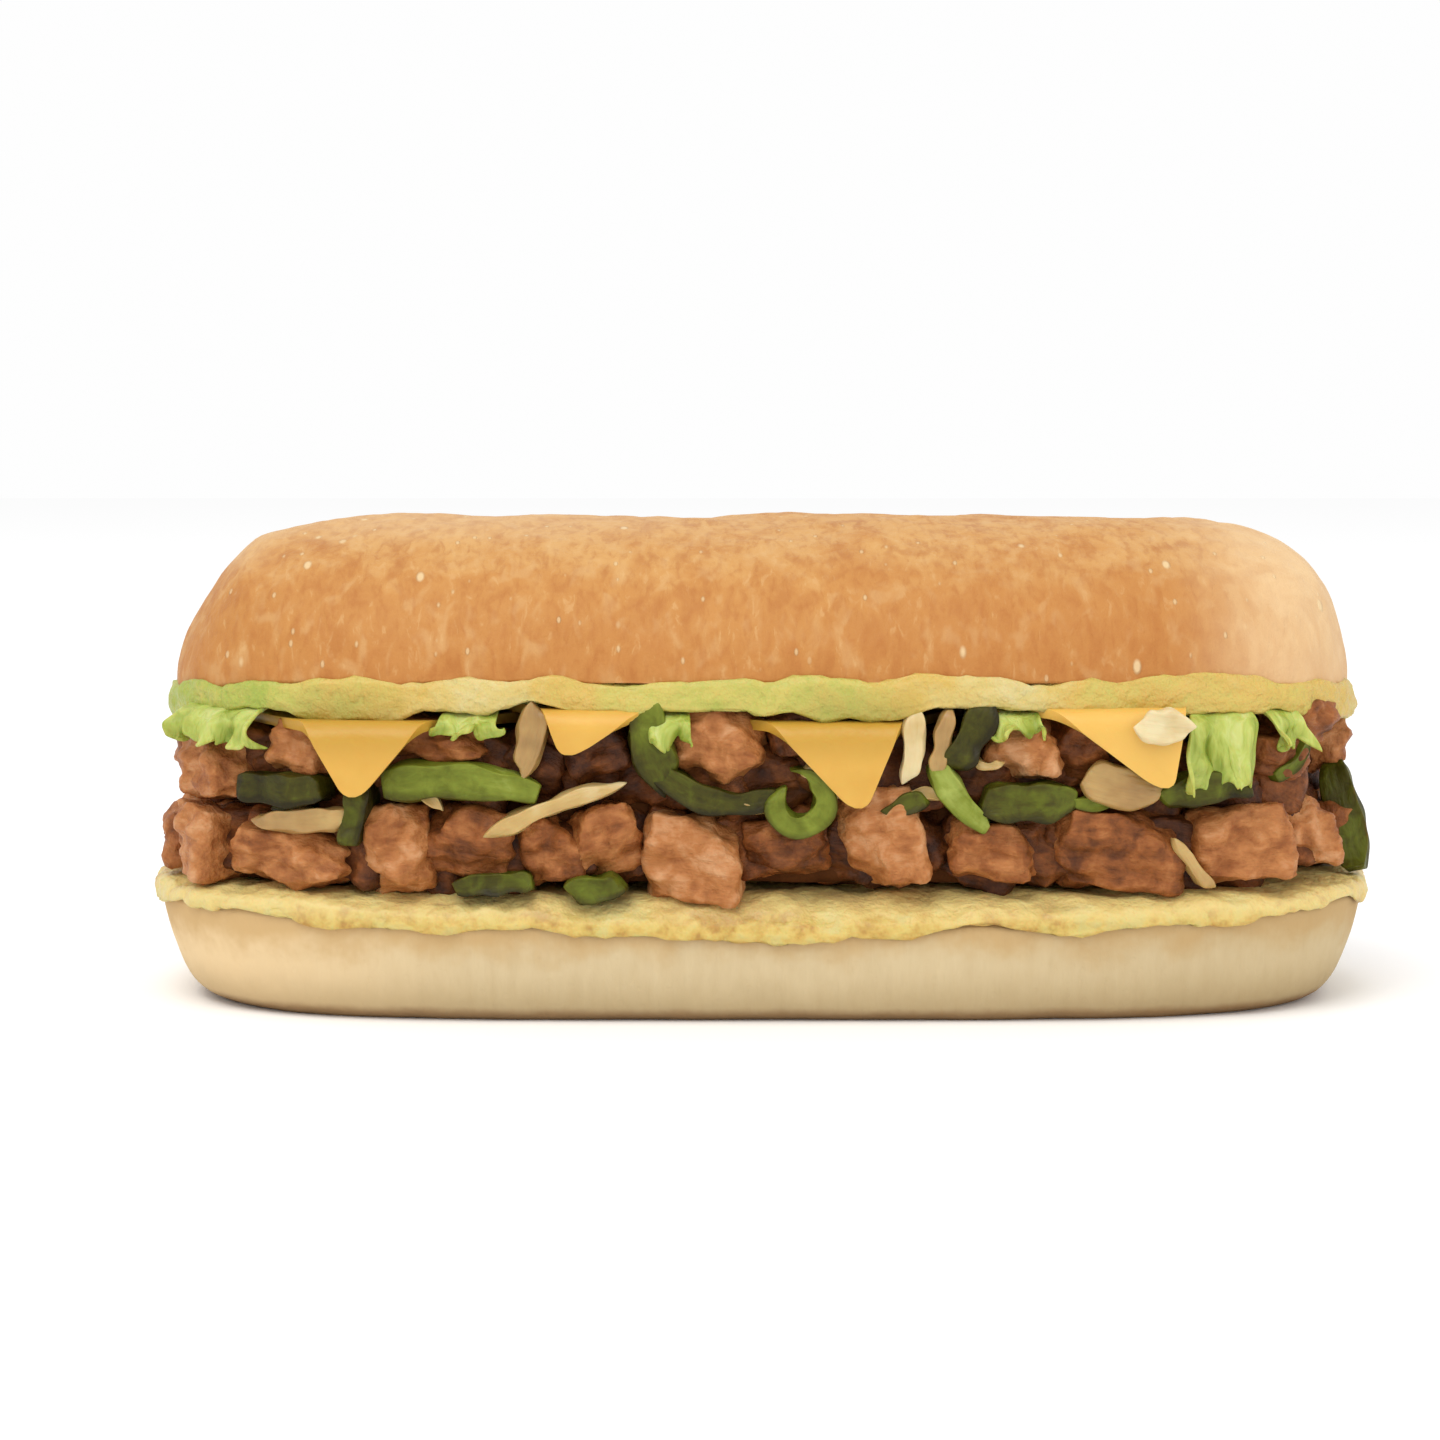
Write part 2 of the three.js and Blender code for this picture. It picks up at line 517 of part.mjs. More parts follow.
// A slice of cheese that lies across the sandwich, with a corner over each side; grow makes it
// fatter all round
function cheeseSolid(spot, grow = 0) {
  const { x, hang, level, left, right } = spot;
  const fold = CHEESE_FOLD;
  const arc = (fold * Math.PI) / 2;
  const edge = ROLL_WIDTH / 2 + CHEESE_OUT - fold; // where the fold starts
  const reach = edge + hang; // from the middle of the slice to its tip, laid flat
  // Rows from the middle to a tip, as distances laid flat
  const half = [reach - CHEESE_HALF, edge, edge + arc / 2, edge + arc, (edge + arc + reach) / 2, reach];
  const rows = [...half.toReversed().map((far) => -far), ...half];
  return sheetSolid(CHEESE_ACROSS, rows.length - 1, (point, u, v, side) => {
    const row = rows[Math.round(v * (rows.length - 1))];
    const slope = u < 0.5 === row < 0 ? left : right;
    const wide = Math.min(CHEESE_TIP + slope * (reach - Math.abs(row)), CHEESE_HALF) + grow;
    const far = Math.abs(row) + (Math.abs(row) === reach ? grow : 0);
    const down = far - edge;
    const bulge = side * (CHEESE_THICK / 2 + grow);
    let [out, z] = [far, bulge];
    if (down > arc) [out, z] = [edge + fold + bulge, arc - fold - down];
    else if (down > 0) {
      out = edge + (fold + bulge) * Math.sin(down / fold);
      z = (fold + bulge) * Math.cos(down / fold) - fold;
    }
    const along = wide * (2 * u - 1);
    out += CHEESE_WAVE * Math.sin(along * CHEESE_WAVE_TURN + x) * smoothstep(down, 0, hang);
    point.set(x + along, out * Math.sign(row), CHEESE_LEVELS[level] + z);
  });
}

// A ruffled leaf that lies on the lettuce's core and hangs over the edge; grow makes it fatter
function leafSolid(spot, grow = 0) {
  const { wide, hang } = spot;
  const pose = edgeFrame({ ...spot, z: 0 });
  const phase = spot.x * LEAF_PHASE;
  const lie = (LETTUCE_LOW + LETTUCE_HIGH) / 2;
  const across = Math.max(4, Math.round(wide / LEAF_STEP));
  return sheetSolid(across, LEAF_ROWS.length - 1, (point, u, v, side) => {
    const row = LEAF_ROWS[Math.round(v * (LEAF_ROWS.length - 1))];
    const along = (u - 0.5) * (wide * THREE.MathUtils.lerp(LEAF_ROOT, 1, v) + 2 * grow);
    const ruffle = row.loose ? LEAF_RUFFLE * v * Math.sin(LEAF_TURN * along + phase) : 0;
    const thick = side * (LEAF_THICK / 2 + grow);
    const z = lie - row.drop - row.hang * (hang + grow);
    if (row.loose) point.set(along, row.inside + ruffle - thick, z + LEAF_LIFT * ruffle);
    else point.set(along, row.inside, z + thick);
    point.applyMatrix4(pose);
  });
}

// What each thing is made of
const finish = (color, roughness) => new THREE.MeshStandardMaterial({ color, roughness, metalness: 0 });
const MATERIALS = {
  heel: finish("#dcc291", 0.75),
  crown: finish("#d89a58", 0.6),
  sauce: finish("#e2c071", 0.35),
  steak: finish("#a3663c", 0.5),
  pepper: finish("#6f7a2b", 0.35),
  onion: finish("#c9a86c", 0.4),
  cheese: finish("#ecc062", 0.4),
  lettuce: finish("#b9bd62", 0.45),
};

// A solid as a named mesh
function piece(name, solid, material) {
  const mesh = solid.getMesh();
  const geometry = new THREE.BufferGeometry();
  geometry.setAttribute("position", new THREE.BufferAttribute(mesh.vertProperties, 3));
  geometry.setIndex(new THREE.BufferAttribute(mesh.triVerts, 1));
  geometry.computeVertexNormals();
  const made = new THREE.Mesh(geometry, material);
  made.name = name;
  return made;
}

// The roll and its sauce
const heel = heelSolid();
const crown = crownSolid();
const lowerSauce = lowerSauceSolid();
const upperSauce = upperSauceSolid();

// The pieces that show, in the order in which they keep their whole shape: each is cut clear of the
// ones before it, and fat holds what later pieces stay outside of
const named = [];
const fat = [lowerSauceSolid(GAP), upperSauceSolid(GAP)];
function lay(name, solid, fatSolid, material) {
  let cut = solid;
  for (const other of fat) cut = cut.subtract(other);
  named.push(piece(name, largest(cut), material));
  fat.push(fatSolid);
}

CHEESE.forEach((spot, i) => {
  lay(`cheese_${i + 1}`, cheeseSolid(spot), cheeseSolid(spot, CHEESE_GAP), MATERIALS.cheese);
});
const BACK_PEPPER = halfTurned(PEPPER.filter((spot) => !spot.end && spot.long > BACK_STRIP));
const BACK_ONION = halfTurned(BACK_ONION_ROWS.map((row) => ONION[row]));
const strips = [
  ["pepper_front", PEPPER, MATERIALS.pepper], ["pepper_back", BACK_PEPPER, MATERIALS.pepper],
  ["onion_front", ONION, MATERIALS.onion], ["onion_back", BACK_ONION, MATERIALS.onion],
];
for (const [name, spots, material] of strips) {
  spots.forEach((spot, i) => {
    lay(`${name}_${i + 1}`, stripSolid(spot), stripSolid(spot, GAP), material);
  });
}

// Lettuce: a thin core with the leaves fused on, clear of the sauce above it
const leafSpots = [...LETTUCE, ...halfTurned(BACK_LETTUCE)];
const leaves = leafSpots.map((spot) => leafSolid(spot));
const lettuceCore = coreSolid(LETTUCE_LOW, LETTUCE_HIGH, LETTUCE_INSET_X, LETTUCE_INSET_Y);
let lettuce = wasm.Manifold.union([lettuceCore, ...leaves]);
for (const other of fat) lettuce = lettuce.subtract(other);
lettuce = largest(lettuce);

// Steak: a core with the chunks fused on, cut clear of all that lies in and round it
const chunks = [
  ...STEAK, ...halfTurned(STEAK.filter((spot) => spot.wide > BACK_CHUNK)),
  ...END_STEAK.map((spot) => ({ ...spot, end: 1 })),
  ...END_STEAK.map((spot) => ({ ...spot, end: -1, tilt: -spot.tilt })),
].map(chunkSolid);
const steakCore = coreSolid(STEAK_LOW, STEAK_TOP, CORE_INSET_X, CORE_INSET_Y);
let steak = wasm.Manifold.union([steakCore, ...chunks]);
const fatLettuce = [lettuceCore.translate([0, 0, -GAP]), ...leafSpots.map((spot) => leafSolid(spot, GAP))];
for (const other of [...fat, ...fatLettuce]) steak = steak.subtract(other);

const bread = new THREE.Group();
bread.add(piece("roll_lower_half", heel, MATERIALS.heel));
bread.add(piece("roll_upper_half", crown, MATERIALS.crown));
const spread = new THREE.Group();
spread.add(piece("sauce_lower", lowerSauce, MATERIALS.sauce));
spread.add(piece("sauce_upper", upperSauce, MATERIALS.sauce));
const filling = new THREE.Group();
filling.add(piece("steak_filling", largest(steak), MATERIALS.steak));
filling.add(piece("lettuce", lettuce, MATERIALS.lettuce));
filling.add(...named);

const sandwich = new THREE.Group();
sandwich.add(bread, spread, filling);

export default sandwich;
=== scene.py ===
import math
import random

import bpy
import numpy as np
from mathutils import Matrix, Vector, noise


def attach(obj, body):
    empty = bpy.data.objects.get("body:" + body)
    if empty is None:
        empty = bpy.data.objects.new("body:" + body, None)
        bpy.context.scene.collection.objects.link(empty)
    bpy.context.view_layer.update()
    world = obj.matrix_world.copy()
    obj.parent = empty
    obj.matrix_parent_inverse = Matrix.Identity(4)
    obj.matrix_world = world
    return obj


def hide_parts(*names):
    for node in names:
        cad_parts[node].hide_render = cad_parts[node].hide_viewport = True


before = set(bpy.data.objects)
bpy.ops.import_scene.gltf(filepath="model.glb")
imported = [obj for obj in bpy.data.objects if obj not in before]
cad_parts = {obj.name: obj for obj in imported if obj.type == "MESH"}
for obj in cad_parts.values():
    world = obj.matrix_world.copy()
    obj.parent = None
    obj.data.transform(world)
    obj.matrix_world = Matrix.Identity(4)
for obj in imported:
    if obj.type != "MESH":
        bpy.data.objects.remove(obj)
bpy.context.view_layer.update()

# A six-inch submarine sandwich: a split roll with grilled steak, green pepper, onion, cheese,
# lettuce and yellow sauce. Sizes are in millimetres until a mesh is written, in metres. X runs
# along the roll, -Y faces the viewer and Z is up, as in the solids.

bl_info = {
    "name": "Submarine Sandwich",
    "version": (1, 0, 0),
    "blender": (4, 5, 0),
    "location": "3D View > Sidebar > Sandwich",
    "description": "A filled submarine roll, built piece by piece",
    "category": "Add Mesh",
}

MM = 0.001

# The roll
ROLL_LENGTH = 162
ROLL_WIDTH = 70
SANDWICH_HEIGHT = 64
CROWN_LENGTH = 157.4
CROWN_WIDTH = 69
CROWN_RIM = 43.8
END_POWER = 4.6
SIDE_POWER = 2.6
DOME_END_POWER = 13
DOME_LENGTH_ROOT = 2.1
DOME_WIDTH_POWER = 2.2
DOME_WIDTH_ROOT = 2.1
CHAMFER_START = 0.864
CHAMFER_HEIGHT = 0.92
CUT_POWER = 4
CUT_RIPPLE = 0.25
CRUST_RIPPLE = 0.35
WALL_CROWDING = 1.5  # rings of the pale side lie closer together towards the foot
# Slow waves that add up to a ripple: height, waves along X and Y in radians a millimetre, start
WAVES = ((0.5, 0.11, 0.07, 0), (0.3, 0.23, -0.19, 1.7), (0.2, 0.41, 0.31, 0.6))
# How far the lower half's side leans in at its foot, and how far the rounded foot goes in beyond that
LEAN = {"x": 4.8, "y": 3.5, "power": 1.6}
FOOT = {"x": 2.6, "y": 2, "power": 12}

# Half the length and width of each half of the roll, the heights of its cut edge and crumb, how much
# higher the edge is at the ends and how soon it rises, and how far its sauce sags and swells
HEEL = {
    "a": ROLL_LENGTH / 2, "b": ROLL_WIDTH / 2, "rim": 11.8, "crumb": 15.5, "rise": 3, "power": 1.2,
    "sag": 0, "swell": 0.4,
}
CROWN = {
    "a": CROWN_LENGTH / 2, "b": CROWN_WIDTH / 2, "rim": CROWN_RIM, "crumb": 44.9, "rise": -2.3, "power": 6,
    "sag": 1, "swell": 1.3,
}

# The layers of the filling
GAP = 0.3
SAUCE_THICK = 1.5
PALE_SAUCE_THICK = 0.8
STEAK_LOW = 17.9
STEAK_TOP = 37.1
LETTUCE_LOW = 41.2
LETTUCE_HIGH = 42.3
CHEESE_LEVELS = (38.4, 40.0)
CORE_INSET_X = 9
CORE_INSET_Y = 6
LETTUCE_INSET_X = 11
LETTUCE_INSET_Y = 4.5
PROUD = 0.9
DROP_LEAST = 0.2
DROP_MORE = 1.3
DROP_ROUGH = 0.8
SAUCE_AROUND = 420
SAG_DEEP = 1.2
SAG_REACH = 9

# The colour of the pale sauce along the roll, by x: green where it carries lettuce, then yellow, and
# nearly white where it is thickest
BAND_PLACES = (-80, -64, -57, -46, -34, -26, -19, -9, 11, 17, 27, 34, 40, 80)
BAND_TONES = (0.0, 0.05, 0.35, 0.5, 0.8, 0.55, 0.3, 0.22, 0.22, 0.45, 0.8, 0.75, 0.45, 0.45)

# Steak chunks on the viewer's side: x, z, wide, high, tilt, how far in, tone from dark to pale
STEAK_DEEP = 12
CHUNK_FULL = 1.12  # makes up for the cut corners of a chunk
CHUNK_KINDS = 9
CHUNK_CUTS = 6
CHUNK_CUT_DEEP = (0.92, 1.15)  # how far from the middle the corners are cut, in half sizes
CHUNK_FINENESS = 0.13
CHUNK_RELIEF = ((1.2, 0.5), (0.5, 0.24), (0.2, 0.06))  # size and height of its lumps, in half sizes
CHUNK_NOD = 9
CHUNK_TWIST = 12
FRONT_PALER = 0.04  # how much paler the chunks are on the viewer's side
BACK_CHUNK = 11  # chunks wider than this are repeated on the far side
STEAK = [
    (-72.6, 32, 11.5, 8.5, 6, -0.2, 0.66),
    (-59.6, 34.5, 9, 7, -10, 0.6, 0.58),
    (-41, 36, 13, 6.5, -6, 0.7, 0.47),
    (-21, 35.4, 9.5, 8.5, 20, 0.8, 0.1),
    (-5, 35.4, 11.5, 10, -5, 0.0, 0.6),
    (4.5, 37, 8, 7, 12, 1.2, 0.2),
    (33, 35.6, 9.5, 9.5, 8, 0.1, 0.76),
    (40.5, 35, 8, 8, -12, 1.0, 0.32),
    (68, 33.4, 10.5, 7, 4, 0.5, 0.38),
    (72, 38, 9.5, 6, -8, 0.3, 0.42),
    (-75.6, 21.7, 11, 10, -5, -0.5, 0.68),
    (-61, 21, 17, 8, -3, 0.3, 0.6),
    (-47.3, 22.2, 9.5, 12, 5, 0.0, 0.62),
    (-37.5, 22.8, 11.5, 9.5, -12, 0.7, 0.4),
    (-27.5, 22.2, 8, 9, 8, 0.6, 0.46),
    (-20.4, 23.4, 9.5, 9.5, 15, 0.4, 0.52),
    (-8.8, 21.2, 13, 12, -4, -0.1, 0.72),
    (3, 22.6, 11.5, 8, 6, 0.8, 0.28),
    (15.2, 23.8, 10.5, 13.5, 10, 0.0, 0.7),
    (29.8, 22.4, 12.5, 8, -6, 0.5, 0.48),
    (45.8, 22.4, 17, 11, -4, 0.1, 0.38),
    (63, 22.4, 13.5, 10, 3, 0.0, 0.58),
    (73, 23.6, 8.5, 9.5, -6, 0.2, 0.7),
]
# The second layer of chunks: how far from the middle it goes along each side and across each end, its
# two rows, how far in it lies and how much deeper across an end, and its widths, tilts and tones
INNER_ALONG = 73
INNER_ACROSS = 20
INNER_ROWS = (22.5, 32)
INNER_IN = (1.6, 3)
INNER_END_IN = 3
INNER_WIDE = (8, 12)
INNER_TILT = (-25, 25)
# These tones are low: the darker chunks stand for the shade deep between the front chunks.
INNER_SHADE_TONE = (0.05, 0.36)
# Steak chunks across each end: y, z, wide, high, tilt; the upper row lies further in
END_UPPER_IN = 1.3
END_UPPER_ROW = 30
END_TONE = (0.35, 0.7)
END_STEAK = [
    (-9, 22.5, 13, 9.5, 6),
    (8, 22.5, 15, 10, -5),
    (-4, 33.5, 15, 9, -5),
    (13, 34, 12, 8.5, 9),
]

# Green pepper: x, z, long, thick, deep, bend, tilt, tone at its left and right end
BACK_PEPPER = 11  # strips longer than this are repeated on the far side
PEPPER = [
    (-62, 29.8, 12, 4, 6, 15, 0, 0.1, 0.22),
    (-38.5, 31.4, 20, 4.6, 5, -26, -3, 0.5, 0.78),
    (-51.9, 27.4, 9, 3.2, 6, 20, 80, 0.3, 0.25),
    (-14.4, 36.2, 12, 4.6, 5, 30, -76, 0.65, 0.2),
    (-7.3, 29, 18, 3.2, 6, 75, -16, 0.35, 0.1),
    (5.2, 27.6, 17, 3, 6, 290, 30, 0.55, 0.7),
    (24.4, 29, 11, 3.2, 5, 30, -52, 0.9, 0.8),
    (33.6, 28.6, 12, 4.6, 6, 12, 0, 0.28, 0.42),
    (56.4, 30.4, 12, 4, 5, -25, 8, 0.4, 0.3),
    (-13, 24.2, 14, 4, 5, -25, 84, 0.4, 0.3),
    (-21.4, 17.6, 7, 3.2, 5, 10, 8, 0.42, 0.4),
    (-34.4, 18.2, 10, 2.8, 5, -12, 5, 0.25, 0.35),
    (26.2, 36.8, 9, 3.8, 5, 25, 62, 0.15, 0.2),
]
END_PEPPER = 9  # the strip that lies across the right end, whose first number is y
END_PEPPER_NOD = 14  # how far its top leans in, in degrees
END_PEPPER_PROUD = 0.4
STRIP_CUTS = 11  # how finely a strip is divided
STRIP_LUMP = 2.6
STRIP_WOBBLE = (0, 0.5, 0.6)  # how far its surface wanders along it, into the roll and up
# Slivers between the chunks: how far they spread from the middle, then ranges for each one's height, bend
# and how far it stands out, and the most that it tilts
SLIVER_CUTS = 7
SLIVER_SPREAD = 70
SLIVER_LEVELS = (26, 34)
SLIVER_BEND = (15, 60)
SLIVER_PROUD = (-0.5, 0.3)
SLIVER_TILT = 60

# Grilled onion, in the same columns
ONION = [
    (-29.4, 36.6, 9, 4, 3, 25, 76, 0.4, 0.3),
    (-26.8, 28.2, 18, 2.4, 4, -16, 22, 0.55, 0.75),
    (18.8, 36, 9.5, 2.8, 3, 15, 86, 0.95, 0.8),
    (45.4, 30.6, 10, 5.6, 3, 15, -12, 0.4, 0.35),
    (49.6, 38.6, 7, 4.4, 1.5, 10, -6, 0.95, 0.9),
    (54.8, 20.4, 8, 2.2, 4, 15, -54, 0.62, 0.5),
    (-59, 26, 13, 3.4, 4, 10, 2, 0.25, 0.5),
    (22.4, 36.4, 8.5, 2.4, 3, -20, 80, 0.45, 0.35),
]
ON_CHEESE = 4  # the bit that lies on the fourth slice of cheese
ON_CHEESE_PROUD = 5
BACK_ONION = (0, 1, 2, 4, 6)  # the strips that are repeated on the far side

# Cheese: x, hang, level, how fast a corner widens to the left and right of its tip
CHEESE = [
    (-52, 10.1, 0, 0.55, 0.85),
    (-24.6, 6.3, 1, 0.4, 1.5),
    (11.9, 11.5, 0, 0.95, 0.4),
    (50.5, 10.5, 1, 1.35, 0.15),
]
CHEESE_THICK = 1.3
CHEESE_TIP = 1.2
CHEESE_HALF = 24
CHEESE_OUT = 1.3
CHEESE_FOLD = 2.2
CHEESE_WAVE = 0.35

# Lettuce leaves: x, wide, hang
LETTUCE = [
    (-70.2, 15.5, 3.6),
    (-37, 8, 2.2),
    (-12.6, 8, 2.6),
    (31.5, 8, 1.6),
    (58, 10, 8.6),
    (66.5, 6, 3.6),
]
BACK_LETTUCE = [
    (-70, 12, 5),
    (-30, 12, 3),
    (36, 11, 4),
    (71, 7, 4),
]
LEAF_THICK = 0.55
LEAF_REACH = 11
LEAF_RUFFLE = 1.3
LEAF_DIP = 2.2
LEAF_LOBE = 1.1
LEAF_CURL = 2.0
LEAF_STEPS = (0, 0.35, 0.5, 0.62, 1)  # places down a leaf, where its course is given

# The stage: where the lights stand, in metres, with their share of the key light's power, and where
# the camera aims and how far away it stands, in millimetres
FLOOR_SIZE = 6
LIGHTS = (
    ("Key light", (-0.35, -0.75, 1.25), 1),
    ("Fill light", (0.9, -0.8, 0.5), 0.25),
)
LIGHT_SIZE = 0.9
LIGHT_AIM = (0, 0, 0.03)
CAMERA_AIM = (-5.6, 0, 36.15)
CAMERA_ELEVATION = 5
CAMERA_DISTANCE = 464
CAMERA_LENS = 85
CAMERA_SENSOR = 36


# Making and reading meshes

def start_alone():
    """Deselect everything, so that the next operator acts on its own piece alone."""
    if bpy.context.object and bpy.context.object.mode != "OBJECT":
        bpy.ops.object.mode_set(mode="OBJECT")
    bpy.ops.object.select_all(action="DESELECT")


def only(*pieces):
    """Select these pieces and make the first one active."""
    start_alone()
    for piece in pieces:
        piece.select_set(True)
    bpy.context.view_layer.objects.active = pieces[0]


def named(name):
    """Give the piece that was just added its name."""
    piece = bpy.context.object
    piece.name = name
    piece.data.name = name
    return piece


def read_points(piece):
    """The points of a mesh, one row each."""
    points = np.empty(len(piece.data.vertices) * 3)
    piece.data.vertices.foreach_get("co", points)
    return points.reshape(-1, 3)


def write_points(piece, points):
    """Move the points of a mesh to places in millimetres."""
    piece.data.vertices.foreach_set("co", (np.asarray(points) * MM).ravel())
    piece.data.update()


def write_posed(piece, points, pose):
    """Move the points of a mesh to places in millimetres that are counted within a pose."""
    matrix = np.array(pose)
    write_points(piece, points @ matrix[:3, :3].T + matrix[:3, 3])


def write_values(piece, name, values):
    """Keep one number, or one vector, for each point of a mesh."""
    values = np.asarray(values, dtype=float)
    kind = "FLOAT" if values.ndim == 1 else "FLOAT_VECTOR"
    field = piece.data.attributes.get(name) or piece.data.attributes.new(name, kind, "POINT")
    field.data.foreach_set("value" if kind == "FLOAT" else "vector", values.ravel())


def edit(operation, **settings):
    """Run an operator on the whole mesh of the active piece."""
    bpy.ops.object.mode_set(mode="EDIT")
    bpy.ops.mesh.select_all(action="SELECT")
    operation(**settings)
    bpy.ops.object.mode_set(mode="OBJECT")


def outward(piece):
    """Turn all faces of a closed piece outwards."""
    only(piece)
    edit(bpy.ops.mesh.remove_doubles, threshold=1e-7)
    edit(bpy.ops.mesh.normals_make_consistent, inside=False)


def modify(piece, kind, **settings):
    """Add a modifier and apply it."""
    only(piece)
    bpy.ops.object.modifier_add(type=kind)
    modifier = piece.modifiers[-1]
    for key, value in settings.items():
        setattr(modifier, key, value)
    bpy.ops.object.modifier_apply(modifier=modifier.name)


def roughen(piece, size, strength, unit=MM):
    """Push a piece's surface in and out by a cloud pattern, with its size and strength in a unit."""
    pattern = bpy.data.textures.new(piece.name + "_relief", "CLOUDS")
    pattern.noise_scale = size * unit
    modify(piece, "DISPLACE", texture=pattern, texture_coords="LOCAL", strength=strength * unit)


def join(name, pieces):
    """Join pieces into one with a name."""
    only(*pieces)
    if len(pieces) > 1:
        bpy.ops.object.join()
    return named(name)


def copy_of(kind):
    """A copy of a piece with a mesh of its own."""
    copy = kind.copy()
    copy.data = kind.data.copy()
    bpy.context.collection.objects.link(copy)
    return copy


def finish_piece(piece, material, slot, *nodes):
    """Shade a piece and give it its material, its body, its slot and the nodes that it stands for."""
    only(piece)
    bpy.ops.object.shade_smooth()
    piece.data.materials.append(material)
    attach(piece, "root")
    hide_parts(*nodes)


# The form of the roll, as in the solids

def outline_at(angle, half_length, half_width):
    """The points of the roll's outline, seen from above, at angles from the middle."""
    c, s = np.cos(angle), np.sin(angle)
    low, high = np.full_like(angle, 0.5), np.full_like(angle, 2.0)
    for _ in range(40):
        middle = (low + high) / 2
        inside = np.abs(c * middle) ** END_POWER + np.abs(s * middle) ** SIDE_POWER < 1
        low, high = np.where(inside, middle, low), np.where(inside, high, middle)
    return half_length * c * low, half_width * s * low


def ripple(x, y):
    """A slow, irregular ripple between about -1 and 1."""
    return sum(high * np.sin(x * along + y * across + start) for high, along, across, start in WAVES)


def edge_height(x, half):
    """The height at which the cut goes through the crust, without its ripple."""
    return half["rim"] + half["rise"] * np.abs(x / half["a"]) ** half["power"]


def cut_ripple(x, y):
    """The shallow, quick ripple of the cut faces."""
    return CUT_RIPPLE * ripple(2 * x, 2 * y)


def cut_height(x, y, half):
    """The height of a cut face: a steep rise from the crust, then nearly flat crumb."""
    used = np.abs(x / half["a"]) ** END_POWER + np.abs(y / half["b"]) ** SIDE_POWER
    full = 1 - np.clip(used, 0, 1) ** CUT_POWER
    edge = edge_height(x, half)
    return edge + (half["crumb"] - edge) * full + cut_ripple(x, y)


def dome_height(x, y):
    """The height of the crown's crust above its cut edge, as a share of the full height."""
    t = np.clip(np.abs(x / CROWN["a"]), 0, 1)
    right = (1 - t ** DOME_END_POWER) ** (1 / DOME_LENGTH_ROOT)
    slope = CHAMFER_HEIGHT * np.sqrt((1 - t) / (1 - CHAMFER_START))
    lengthwise = np.where(x < 0, np.minimum(right, slope), right)
    half_across = CROWN["b"] * (1 - t ** END_POWER) ** (1 / SIDE_POWER)
    across = np.clip(np.abs(y) / np.maximum(half_across, 1e-6), 0, 1)
    crosswise = (1 - across ** DOME_WIDTH_POWER) ** (1 / DOME_WIDTH_ROOT)
    return np.where(np.abs(y) < 1e-6, lengthwise, lengthwise * crosswise)


def wavy_run(angle):
    """How far the sauce runs over an edge at an angle, from 0 to 1."""
    return 0.5 + 0.32 * np.sin(angle * 11) + 0.18 * np.sin(angle * 28 + 2)


def sag(x):
    """How much lower the pale sauce hangs over the two lower slices of cheese."""
    reach = np.min([np.abs(x - spot[0]) for spot in CHEESE if spot[2] == 0], axis=0)
    t = np.clip((reach - SAG_REACH / 2) / (SAG_REACH / 2), 0, 1)
    return SAG_DEEP * (1 - t * t * (3 - 2 * t))


def uneven(points, scale, seed):
    """Smooth noise between about -1 and 1 at each point, with features of a size in millimetres."""
    shift = Vector((seed * 17.3, seed * 5.1, seed * 9.7))
    return np.array([noise.noise(Vector(point) / scale + shift) for point in points])


def ball(name, around, rings):
    """A sphere to shape into a turned form, with each point's ring, from the bottom, and angle."""
    start_alone()
    bpy.ops.mesh.primitive_uv_sphere_add(segments=around, ring_count=rings, radius=1)
    piece = named(name)
    points = read_points(piece)
    ring = np.rint(rings * np.arccos(np.clip(-points[:, 2], -1, 1)) / math.pi).astype(int)
    return piece, ring, np.arctan2(points[:, 1], points[:, 0])


def ring_share(ring, under, wall, over):
    """How far out each ring lies, from 0 in the middle to 1 on the wall between two faces."""
    below = np.sin(ring / under * math.pi / 2)
    above = np.cos((ring - under - wall) / over * math.pi / 2)
    return np.where(ring < under, below, np.where(ring > under + wall, above, 1))


def edge_frame(spot, z, end=0, half=False):
    """A place on the roll's edge as a matrix: X along the edge, Y into the roll, Z up."""
    a, b = HEEL["a"], HEEL["b"]
    if end:
        x, y = end * a * (1 - abs(spot / b) ** SIDE_POWER) ** (1 / END_POWER), spot
    else:
        x, y = spot, -b * (1 - abs(spot / a) ** END_POWER) ** (1 / SIDE_POWER)

    def slope(t, side, power):
        return power * math.copysign(abs(t / side) ** (power - 1), t) / side

    inward = -Vector((slope(x, a, END_POWER), slope(y, b, SIDE_POWER), 0)).normalized()
    along = inward.cross(Vector((0, 0, 1)))
    pose = Matrix((along, inward, (0, 0, 1))).transposed().to_4x4()
    pose.translation = (x, y, z)
    return Matrix.Rotation(math.pi, 4, "Z") @ pose if half else pose


# Shader maths

class Wire:
    """A socket of a material that shader maths can be written on, as in 1 - mask * 0.5."""

    def __init__(self, paint, socket):
        self.paint = paint
        self.socket = socket

    def maths(self, operation, first, second):
        return self.paint.node("ShaderNodeMath", {"operation": operation}, {0: first, 1: second})

    def __add__(self, other):
        return self.maths("ADD", self, other)

    def __radd__(self, other):
        return self.maths("ADD", other, self)

    def __sub__(self, other):
        return self.maths("SUBTRACT", self, other)

    def __rsub__(self, other):
        return self.maths("SUBTRACT", other, self)

    def __mul__(self, other):
        return self.maths("MULTIPLY", self, other)

    def __rmul__(self, other):
        return self.maths("MULTIPLY", other, self)


def tint(code):
    """A hex colour as Blender's linear numbers."""
    parts = [int(code[i:i + 2], 16) / 255 for i in (1, 3, 5)]
    return tuple(p / 12.92 if p <= 0.04045 else ((p + 0.055) / 1.055) ** 2.4 for p in parts)


